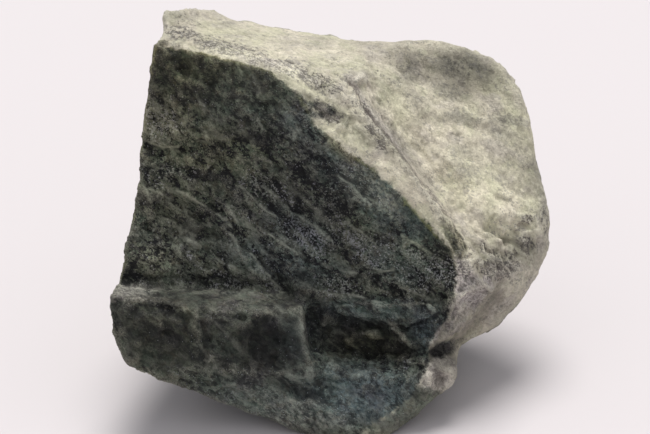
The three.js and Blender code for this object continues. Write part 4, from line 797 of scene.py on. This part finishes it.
me = mesh_from("working_stone", (P - ORIGIN) / 1000.0, quads)
for name, values in (("dark", dark), ("ink", ink), ("cool", cool), ("pale", pale), ("rim", rim), ("crushed", crushed),
                     ("worn_and_highlight", worn_and_highlight), ("pit", pit), ("knee", knee), ("shade", shade), ("tone_light_and_shade", tone_light_and_shade), ("line", line), ("flake", flake),
                     ("warm", warm), ("soft", soft), ("haze", haze), ("sparkle", sparkle)):
    me.attributes.new(name, "FLOAT", "POINT").data.foreach_set("value", np.clip(values, 0, 1).astype(np.float32))
working = bpy.data.objects.new("working_stone", me)
scene.collection.objects.link(working)
thin = working.modifiers.new("thin", "DECIMATE")
thin.decimate_type = "COLLAPSE"
thin.ratio = min(1.0, MOST_TRIANGLES / (2 * len(quads)))
done = bpy.data.meshes.new_from_object(working.evaluated_get(bpy.context.evaluated_depsgraph_get()))
bpy.data.objects.remove(working)
bpy.data.meshes.remove(me)
me = done
me.name = "rough_stone"
co = np.empty(3 * len(me.vertices), np.float32)
me.vertices.foreach_get("co", co)
co = np.clip(co.reshape(-1, 3), np.array(CAD_BOX[0]), np.array(CAD_BOX[1])).astype(np.float32)
me.vertices.foreach_set("co", co.ravel())
me.polygons.foreach_set("use_smooth", np.ones(len(me.polygons), bool))
me.update()
stone = bpy.data.objects.new("rough_stone", me)
scene.collection.objects.link(stone)


# ------------------------------------------------------------------ the rock's material
class Nodes:
    def __init__(self, material):
        material.use_nodes = True
        self.tree = material.node_tree
        self.tree.nodes.clear()

    def new(self, kind, **settings):
        n = self.tree.nodes.new(kind)
        for k, x in settings.items():
            setattr(n, k, x)
        return n

    def put(self, socket, x):
        if isinstance(x, bpy.types.NodeSocket):
            self.tree.links.new(x, socket)
        elif isinstance(x, (tuple, list)) and len(x) == 3 and len(socket.default_value) == 4:
            socket.default_value = (*x, 1.0)
        else:
            socket.default_value = x

    def math(self, op, a, b=0.0, c=0.0, clamp=False):
        n = self.new("ShaderNodeMath", operation=op, use_clamp=clamp)
        for socket, x in zip(n.inputs, (a, b, c)):
            self.put(socket, x)
        return n.outputs[0]

    def ramp(self, x, lo, hi, out_lo=0.0, out_hi=1.0):
        n = self.new("ShaderNodeMapRange", interpolation_type="SMOOTHSTEP")
        for socket, y in zip(n.inputs[:5], (x, lo, hi, out_lo, out_hi)):
            self.put(socket, y)
        return n.outputs[0]

    def mix(self, f, a, b, blend="MIX"):
        n = self.new("ShaderNodeMix", data_type="RGBA", blend_type=blend)
        self.put(n.inputs[0], f)
        self.put(n.inputs[6], a)
        self.put(n.inputs[7], b)
        return n.outputs[2]

    def attribute(self, name):
        return self.new("ShaderNodeAttribute", attribute_name=name).outputs["Fac"]

    def noise(self, vector, scale, detail=2.0, rough=0.5, distortion=0.0):
        n = self.new("ShaderNodeTexNoise", noise_dimensions="3D")
        self.put(n.inputs["Vector"], vector)
        n.inputs["Scale"].default_value = scale
        n.inputs["Detail"].default_value = detail
        n.inputs["Roughness"].default_value = rough
        n.inputs["Distortion"].default_value = distortion
        return n.outputs["Fac"]

    def voronoi(self, vector, scale, feature="F1"):
        n = self.new("ShaderNodeTexVoronoi", voronoi_dimensions="3D", feature=feature)
        self.put(n.inputs["Vector"], vector)
        n.inputs["Scale"].default_value = scale
        return n


rock = bpy.data.materials.new("granular_olivine_rock")
g = Nodes(rock)
shader = g.new("ShaderNodeBsdfPrincipled")
out = g.new("ShaderNodeOutputMaterial")
g.tree.links.new(shader.outputs[0], out.inputs["Surface"])
place = g.new("ShaderNodeTexCoord").outputs["Object"]
turn = g.new("ShaderNodeMapping", vector_type="POINT")
turn.inputs["Rotation"].default_value = tuple(Matrix(BASIS.tolist()).to_euler("XYZ"))
g.put(turn.inputs["Vector"], place)


def scaled(vector, factors):
    n = g.new("ShaderNodeVectorMath", operation="MULTIPLY")
    g.put(n.inputs[0], vector)
    n.inputs[1].default_value = factors
    return n.outputs[0]


def gray(x):
    n = g.new("ShaderNodeCombineColor")
    for k in range(3):
        g.put(n.inputs[k], x)
    return n.outputs[0]


def tone_of(node):
    n = g.new("ShaderNodeSeparateColor")
    g.put(n.inputs[0], node.outputs["Color"])
    return n.outputs


mm = scaled(place, (1000.0, 1000.0, 1000.0))                           # millimetres
flat = scaled(turn.outputs[0], (1000.0 / 1.7, 1000.0 / 1.35, 1000.0))   # drawn out a little in the foliation
flatter = scaled(turn.outputs[0], (1000.0 / 3.6, 1000.0 / 2.3, 1000.0))

a_dark, a_ink, a_cool, a_pale, a_rim = (g.attribute(x) for x in ("dark", "ink", "cool", "pale", "rim"))
a_crushed, a_worn_and_highlight, a_pit, a_knee = (g.attribute(x) for x in ("crushed", "worn_and_highlight", "pit", "knee"))

a_shade = g.attribute("shade")
a_sparkle = g.attribute("sparkle")
a_tone_light_and_shade = g.attribute("tone_light_and_shade")
mottle = g.noise(flat, 0.75, 4.0, 0.6, 0.4)          # 1 to 2 mm patches
clouds = g.noise(flatter, 0.42, 3.0, 0.55, 0.5)      # 3 to 6 mm clouds
cluster = g.noise(flatter, 0.85, 3.0, 0.6)           # streaky speck clusters
broad = g.noise(mm, 0.16, 2.0, 0.5)                  # shifts of hue over the stone
tint = g.noise(mm, 0.34, 2.0, 0.6)                   # violet and green patches, 3 mm
coarse = g.noise(flat, 2.9, 3.0, 0.68, 0.3)          # the dark mineral grains, 0.2 to 0.4 mm
small = g.noise(flat, 4.6, 2.0, 0.65, 0.2)           # and smaller ones on the pale faces
tiny = g.noise(mm, 7.5, 2.0, 0.65)                   # sugar-like grain
ragged = g.new("ShaderNodeVectorMath", operation="MULTIPLY_ADD")     # grain outlines are uneven
wander = g.new("ShaderNodeTexNoise", noise_dimensions="3D")
g.put(wander.inputs["Vector"], mm)
wander.inputs["Scale"].default_value = 5.0
wander.inputs["Detail"].default_value = 2.0
g.put(ragged.inputs[0], wander.outputs["Color"])
ragged.inputs[1].default_value = (0.34, 0.34, 0.34)
g.put(ragged.inputs[2], flat)
uneven = ragged.outputs[0]
along_ridge = g.new("ShaderNodeMapping", vector_type="POINT")         # grains of the pale faces are drawn out along the ridge
along_ridge.inputs["Rotation"].default_value = tuple(Matrix(RIDGE_BASIS.tolist()).to_euler("XYZ"))
g.put(along_ridge.inputs["Vector"], place)
drawn = g.new("ShaderNodeVectorMath", operation="MULTIPLY_ADD")
g.put(drawn.inputs[0], wander.outputs["Color"])
drawn.inputs[1].default_value = (0.30, 0.30, 0.30)
g.put(drawn.inputs[2], scaled(along_ridge.outputs[0], (1000.0 / 2.7, 1000.0 / 1.1, 1000.0)))
stroke_tone = tone_of(g.voronoi(drawn.outputs[0], 4.6))
crystal = g.voronoi(uneven, 3.2)
crystal_tone = tone_of(crystal)
sugar = g.voronoi(mm, 6.0)
sugar_tone = tone_of(sugar)
grit = g.voronoi(uneven, 5.4)
grit_tone = tone_of(grit)
is_dark = g.ramp(a_dark, 0.3, 0.7)
fine = g.math("ADD", g.math("MULTIPLY", coarse, g.math("MULTIPLY_ADD", is_dark, 0.65, 0.35)), g.math("MULTIPLY", small, g.math("MULTIPLY_ADD", is_dark, -0.65, 0.65)))

# ground colour, linear: the pale faces, and the darker front faces, whose darkness is partly their own tone and partly
# painted shade
cream = g.mix(g.ramp(mottle, 0.38, 0.64), (0.615, 0.565, 0.455), (0.515, 0.472, 0.372))
cream = g.mix(g.ramp(broad, 0.42, 0.60), cream, (0.515, 0.49, 0.365))
cream = g.mix(g.math("MULTIPLY", g.ramp(clouds, 0.46, 0.64), 0.60), cream, (0.40, 0.37, 0.30))
cream = g.mix(g.math("MULTIPLY", g.ramp(tint, 0.52, 0.66), 0.42), cream, (0.44, 0.40, 0.365))
cream = g.mix(g.math("MULTIPLY", g.ramp(tint, 0.48, 0.34), 0.50), cream, (0.475, 0.468, 0.335))
cream = g.mix(g.math("MULTIPLY", g.attribute("haze"), g.ramp(cluster, 0.36, 0.60, 0.40, 0.95)), cream, (0.250, 0.242, 0.196))
cream = g.mix(g.math("MULTIPLY", a_ink, g.ramp(cluster, 0.36, 0.60, 0.12, 0.48)), cream, (0.262, 0.240, 0.212))
olive = g.mix(g.ramp(mottle, 0.38, 0.62), (0.114, 0.127, 0.096), (0.058, 0.065, 0.053))
slate = g.mix(g.ramp(mottle, 0.38, 0.62), (0.098, 0.124, 0.130), (0.048, 0.062, 0.068))
olive = g.mix(a_cool, olive, slate)
olive = g.mix(g.math("MULTIPLY", g.ramp(tint, 0.52, 0.68), 0.55), olive, (0.072, 0.064, 0.075))
olive = g.mix(g.math("MULTIPLY", g.ramp(tint, 0.48, 0.34), 0.50), olive, (0.068, 0.096, 0.075))
olive = g.mix(g.math("MULTIPLY", g.ramp(clouds, 0.50, 0.66), 0.35), olive, (0.034, 0.036, 0.037))
olive = g.mix(g.math("MULTIPLY", g.ramp(g.noise(mm, 1.0, 2.0, 0.6), 0.54, 0.66), 0.45), olive, (0.092, 0.080, 0.058))
ground = g.mix(a_dark, cream, olive)
ground = g.mix(g.math("MULTIPLY", a_crushed, 0.9), ground, g.mix(g.ramp(fine, 0.40, 0.60), (0.54, 0.495, 0.47), (0.22, 0.195, 0.19)))
ground = g.mix(g.math("MULTIPLY", a_pale, g.ramp(fine, 0.60, 0.38)), ground, (0.25, 0.245, 0.215))
# grain by grain
grain = g.math("MULTIPLY", g.ramp(crystal_tone[0], 0.0, 1.0, 0.70, 1.30), g.ramp(sugar_tone[0], 0.0, 1.0, 0.78, 1.22))
grain = g.math("MULTIPLY", grain, g.ramp(tiny, 0.34, 0.66, 0.80, 1.20))
a_soft = g.attribute("soft")
grain_dark = g.math("POWER", grain, g.math("MULTIPLY_ADD", a_soft, -0.55, 1.0))
even = g.mix(a_dark, gray(g.math("POWER", grain, 0.30)), gray(grain_dark))
ground = g.mix(1.0, ground, even, "MULTIPLY")
# light grains on the fresh faces
lightness = g.math("MULTIPLY_ADD", g.math("SUBTRACT", 0.5, cluster), 0.9, 0.11)
light = g.ramp(g.math("SUBTRACT", lightness, grit_tone[1]), -0.03, 0.03)
ground = g.mix(g.math("MULTIPLY", g.math("MULTIPLY", light, a_dark), g.math("MULTIPLY_ADD", a_soft, -0.30, 0.50)), ground, g.mix(a_cool, (0.225, 0.232, 0.195), (0.20, 0.232, 0.238)))


# near black mineral grains: the share of grains that are black grows in drawn-out clusters
def share(base, by_cluster, by_clouds, by_ink, by_fine):
    x = g.math("MULTIPLY_ADD", g.math("SUBTRACT", cluster, 0.5), by_cluster, base)
    x = g.math("ADD", x, g.math("MULTIPLY", g.math("SUBTRACT", clouds, 0.5), by_clouds))
    x = g.math("ADD", x, g.math("MULTIPLY", g.math("SUBTRACT", fine, 0.5), by_fine))
    return g.math("ADD", x, g.math("MULTIPLY", a_ink, by_ink))


on_dark = g.math("SUBTRACT", share(0.13, 2.2, 0.8, 0.36, 0.6), g.math("MULTIPLY", a_pale, 0.12))
on_dark_small = share(0.12, 2.0, 0.6, 0.35, 0.5)
on_pale = g.math("SUBTRACT", share(0.04, 1.1, 0.4, 0.40, 0.9), g.math("MULTIPLY", a_pale, 0.05))
speck_dark = g.ramp(g.math("SUBTRACT", on_dark, crystal_tone[1]), -0.02, 0.02)
speck_dark = g.math("MAXIMUM", speck_dark, g.ramp(g.math("SUBTRACT", on_dark_small, grit_tone[2]), -0.02, 0.02))
pepper = g.voronoi(uneven, 2.5)                      # and single ones strewn evenly between
pepper_tone = tone_of(pepper)
strewn = g.math("MULTIPLY", g.ramp(pepper.outputs["Distance"], 0.30, 0.21), g.ramp(pepper_tone[0], 0.40, 0.46))
strokes = g.math("MULTIPLY_ADD", a_sparkle, 0.20, share(0.05, 1.3, 0.3, 0.32, 0.5))
speck_dark = g.math("MAXIMUM", speck_dark, g.ramp(g.math("SUBTRACT", strokes, stroke_tone[1]), -0.03, 0.03))
speck_dark = g.math("MAXIMUM", speck_dark, g.math("MULTIPLY", strewn, g.math("MULTIPLY_ADD", a_soft, -0.45, 0.95)))
speck_pale = g.ramp(g.math("SUBTRACT", on_pale, grit_tone[2]), -0.03, 0.03)
on_pale_large = share(-0.10, 1.0, 0.3, 0.42, 0.7)
speck_pale = g.math("MAXIMUM", speck_pale, g.ramp(g.math("SUBTRACT", on_pale_large, crystal_tone[1]), -0.02, 0.02))
fleck = g.math("MULTIPLY_ADD", a_ink, 0.75, -0.38)          # where the black grains are thickest they are finest
speck_pale = g.math("MAXIMUM", speck_pale, g.ramp(g.math("SUBTRACT", fleck, stroke_tone[2]), -0.03, 0.03))
speck = g.math("ADD", g.math("MULTIPLY", speck_dark, a_dark), g.math("MULTIPLY", speck_pale, g.math("SUBTRACT", 1.0, a_dark)))
black = g.mix(a_dark, g.mix(g.ramp(a_ink, 0.15, 0.60), (0.235, 0.222, 0.195), (0.038, 0.034, 0.038)), (0.006, 0.006, 0.009))
strength = g.math("SUBTRACT", g.math("MULTIPLY_ADD", is_dark, 0.16, 0.80), g.math("MULTIPLY", a_soft, 0.36))
ground = g.mix(g.math("MULTIPLY", speck, strength), ground, black)
salt = g.math("MULTIPLY", g.ramp(g.math("SUBTRACT", g.math("MULTIPLY_ADD", a_ink, 0.70, -0.40), sugar_tone[0]), -0.03, 0.03), g.math("SUBTRACT", 1.0, a_dark))
ground = g.mix(g.math("MULTIPLY", salt, 0.5), ground, (0.62, 0.58, 0.51))
# bright crumbs, thick in some patches of the fresh faces
glitter = g.noise(flatter, 0.62, 3.0, 0.62, 0.3)
crumb_share = g.math("MULTIPLY_ADD", a_sparkle, 0.40, g.ramp(glitter, 0.53, 0.70, 0.004, 0.21))
crumb = g.ramp(g.math("SUBTRACT", crumb_share, sugar_tone[1]), -0.02, 0.02)
crumb = g.math("MULTIPLY", crumb, g.math("MULTIPLY_ADD", a_soft, -0.65, 1.0))
ground = g.mix(g.math("MULTIPLY", g.math("MULTIPLY", crumb, a_dark), g.math("MULTIPLY", g.math("MULTIPLY_ADD", a_shade, -0.45, 0.80), g.math("MULTIPLY_ADD", a_sparkle, 0.15, 0.75))), ground, g.mix(g.math("MAXIMUM", g.ramp(tint, 0.40, 0.60), a_sparkle), (0.25, 0.265, 0.21), (0.36, 0.355, 0.39)))
# edges of thin flakes catch the light
flaky = scaled(turn.outputs[0], (1000.0 / 5.2, 1000.0 / 1.9, 1000.0 / 1.3))
layer = g.math("MULTIPLY", g.noise(flaky, 0.52, 3.0, 0.5, 0.35), 8.0)
layer_part = g.math("FRACT", layer)
flake_edge = g.math("MULTIPLY", g.ramp(layer_part, 0.70, 0.86), g.ramp(layer_part, 1.0, 0.93))
flake_edge = g.math("MULTIPLY", flake_edge, g.math("MULTIPLY", g.attribute("flake"), g.ramp(cluster, 0.62, 0.44)))
ground = g.mix(g.math("MULTIPLY", flake_edge, 0.75), ground, g.mix(a_cool, (0.185, 0.195, 0.165), (0.165, 0.185, 0.188)))
# painted highlight along the splinter and terrace steps
ground = g.mix(g.math("MULTIPLY", g.attribute("line"), g.ramp(tiny, 0.30, 0.55, 0.55, 1.0)), ground, (0.325, 0.335, 0.285))
# darker zones: partly dark mineral, partly painted shade in the hollow, on the ledge's front, in the seam, in the
# cleft, around the knot and behind the crest
ground = g.mix(g.math("MULTIPLY", a_shade, 0.80), ground, g.mix(0.92, ground, g.mix(a_dark, (0.115, 0.092, 0.082), (0.014, 0.014, 0.016))))
# darker in the hollows; raised grains are scuffed
ground = g.mix(g.math("MULTIPLY", a_pit, g.math("MULTIPLY_ADD", is_dark, 0.26, 0.20)), ground, g.mix(0.75, ground, (0.02, 0.02, 0.018)))
scuff = g.math("MULTIPLY", g.math("MULTIPLY", g.math("MULTIPLY", a_knee, g.math("MULTIPLY_ADD", a_soft, -0.5, 1.0)), g.math("SUBTRACT", 0.6, g.math("MULTIPLY", a_shade, 0.45))), g.ramp(tiny, 0.42, 0.58))
ground = g.mix(scuff, ground, g.mix(a_dark, (0.60, 0.57, 0.47), (0.19, 0.19, 0.16)))
# worn edges and painted highlights, lighter
ground = g.mix(g.math("MULTIPLY", a_worn_and_highlight, g.ramp(tiny, 0.35, 0.60, 0.15, 0.65)), ground, (0.62, 0.585, 0.48))
# thin yellow-green rims where light comes through an edge
ground = g.mix(g.math("MULTIPLY", a_rim, g.ramp(tiny, 0.35, 0.60, 0.25, 0.85)), ground, (0.34, 0.34, 0.17))
# painted glints: bright dots where single crystal faces catch the light
spark = g.voronoi(mm, 4.2)
spark_tone = tone_of(spark)
painted_glint = g.math("MULTIPLY", g.ramp(spark.outputs["Distance"], 0.24, 0.10), g.ramp(spark_tone[1], 0.78, 0.84))
painted_glint = g.math("MULTIPLY", painted_glint, g.ramp(cluster, 0.44, 0.56))
ground = g.mix(g.math("MULTIPLY", painted_glint, g.math("MULTIPLY_ADD", is_dark, 0.45, 0.25)), ground, g.mix(a_dark, (0.74, 0.72, 0.68), (0.40, 0.42, 0.46)))
# patches of tone, painted light and painted shade
ground = g.mix(1.0, ground, gray(g.ramp(a_tone_light_and_shade, 0.0, 1.0, 0.50, 1.46)), "MULTIPLY")
ground = g.mix(a_dark, ground, g.mix(1.0, ground, (1.20, 1.20, 1.17), "MULTIPLY"))
a_warm = g.attribute("warm")
ground = g.mix(g.math("MULTIPLY", a_cool, a_dark), ground, g.mix(1.0, ground, (0.90, 1.00, 1.06), "MULTIPLY"))
ground = g.mix(g.math("MULTIPLY", a_warm, a_dark), ground, g.mix(1.0, ground, (1.06, 1.01, 0.82), "MULTIPLY"))
ground = g.mix(g.math("MULTIPLY", a_warm, g.math("SUBTRACT", 1.0, g.math("ADD", a_dark, a_crushed, clamp=True))), ground, g.mix(1.0, ground, (1.025, 1.025, 1.0), "MULTIPLY"))
g.put(shader.inputs["Base Color"], ground)
rough = g.ramp(speck, 0.0, 1.0, 0.88, 0.55)
rough = g.math("SUBTRACT", rough, g.math("MULTIPLY", painted_glint, 0.35))
g.put(shader.inputs["Roughness"], rough)
shader.inputs["Specular IOR Level"].default_value = 0.14
shader.inputs["IOR"].default_value = 1.62


def tipped(vector, grains, amount):
    """Every grain ends in a little plane of its own, tipped at random."""
    way = g.new("ShaderNodeVectorMath", operation="SUBTRACT")
    g.put(way.inputs[0], vector)
    g.put(way.inputs[1], grains.outputs["Position"])
    lean = g.new("ShaderNodeVectorMath", operation="SUBTRACT")
    g.put(lean.inputs[0], grains.outputs["Color"])
    lean.inputs[1].default_value = (0.5, 0.5, 0.5)
    dot = g.new("ShaderNodeVectorMath", operation="DOT_PRODUCT")
    g.put(dot.inputs[0], way.outputs[0])
    g.put(dot.inputs[1], lean.outputs[0])
    return g.math("MULTIPLY", dot.outputs["Value"], amount)


height = tipped(uneven, crystal, 9.0)
height = g.math("ADD", height, tipped(mm, sugar, 12.0))
height = g.math("ADD", height, g.math("MULTIPLY", crystal.outputs["Distance"], -0.30))
height = g.math("ADD", height, g.math("MULTIPLY", tiny, 0.55))
height = g.math("ADD", height, g.math("MULTIPLY", fine, 0.8))
height = g.math("ADD", height, g.math("MULTIPLY", g.math("MULTIPLY", layer_part, g.attribute("flake")), 1.6))
height = g.math("SUBTRACT", height, g.math("MULTIPLY", speck, 0.25))
height = g.math("MULTIPLY", height, g.math("SUBTRACT", g.math("MULTIPLY_ADD", is_dark, 0.50, 0.50), g.math("MULTIPLY", a_soft, 0.18)))
bump = g.new("ShaderNodeBump")
bump.inputs["Strength"].default_value = 0.9
bump.inputs["Distance"].default_value = 0.00012
g.put(bump.inputs["Height"], height)
g.put(shader.inputs["Normal"], bump.outputs[0])
me.materials.append(rock)
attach(stone, "root")
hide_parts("stone")

# ------------------------------------------------------------------ floor and light
floor_me = bpy.data.meshes.new("floor")
floor_me.from_pydata([(-3, -3, 0), (3, -3, 0), (3, 3, 0), (-3, 3, 0)], [], [(0, 1, 2, 3)])
floor = bpy.data.objects.new("floor", floor_me)
scene.collection.objects.link(floor)
fm = bpy.data.materials.new("floor")
fm.use_nodes = True
nt = fm.node_tree
fb = nt.nodes["Principled BSDF"]
fb.inputs["Base Color"].default_value = (0.625, 0.588, 0.595, 1)
fb.inputs["Roughness"].default_value = 0.9
mix = nt.nodes.new("ShaderNodeMixShader")
geo = nt.nodes.new("ShaderNodeNewGeometry")
clear = nt.nodes.new("ShaderNodeBsdfTransparent")
nt.links.new(geo.outputs["Backfacing"], mix.inputs[0])
nt.links.new(fb.outputs[0], mix.inputs[1])
nt.links.new(clear.outputs[0], mix.inputs[2])
nt.links.new(mix.outputs[0], nt.nodes["Material Output"].inputs["Surface"])
floor_me.materials.append(fm)


def sun(name, direction, strength, angle, color=(1, 1, 1)):
    d = Vector(direction).normalized()
    data = bpy.data.lights.new(name, "SUN")
    data.energy = strength
    data.angle = math.radians(angle)
    data.color = color
    ob = bpy.data.objects.new(name, data)
    ob.location = d
    ob.rotation_euler = (-d).to_track_quat("-Z", "Y").to_euler()
    scene.collection.objects.link(ob)
    return ob


sun("key", (0.01, 0.36, 0.93), 3.04, 32.0, (1.0, 0.985, 0.965))
world = bpy.data.worlds.new("world")
world.use_nodes = True
world.node_tree.nodes["Background"].inputs["Color"].default_value = (0.95, 0.96, 1.0, 1)
world.node_tree.nodes["Background"].inputs["Strength"].default_value = 0.56
scene.world = world
scene.view_settings.view_transform = "Standard"
scene.view_settings.look = "None"
scene.view_settings.exposure = 0.0
scene.view_settings.gamma = 1.0
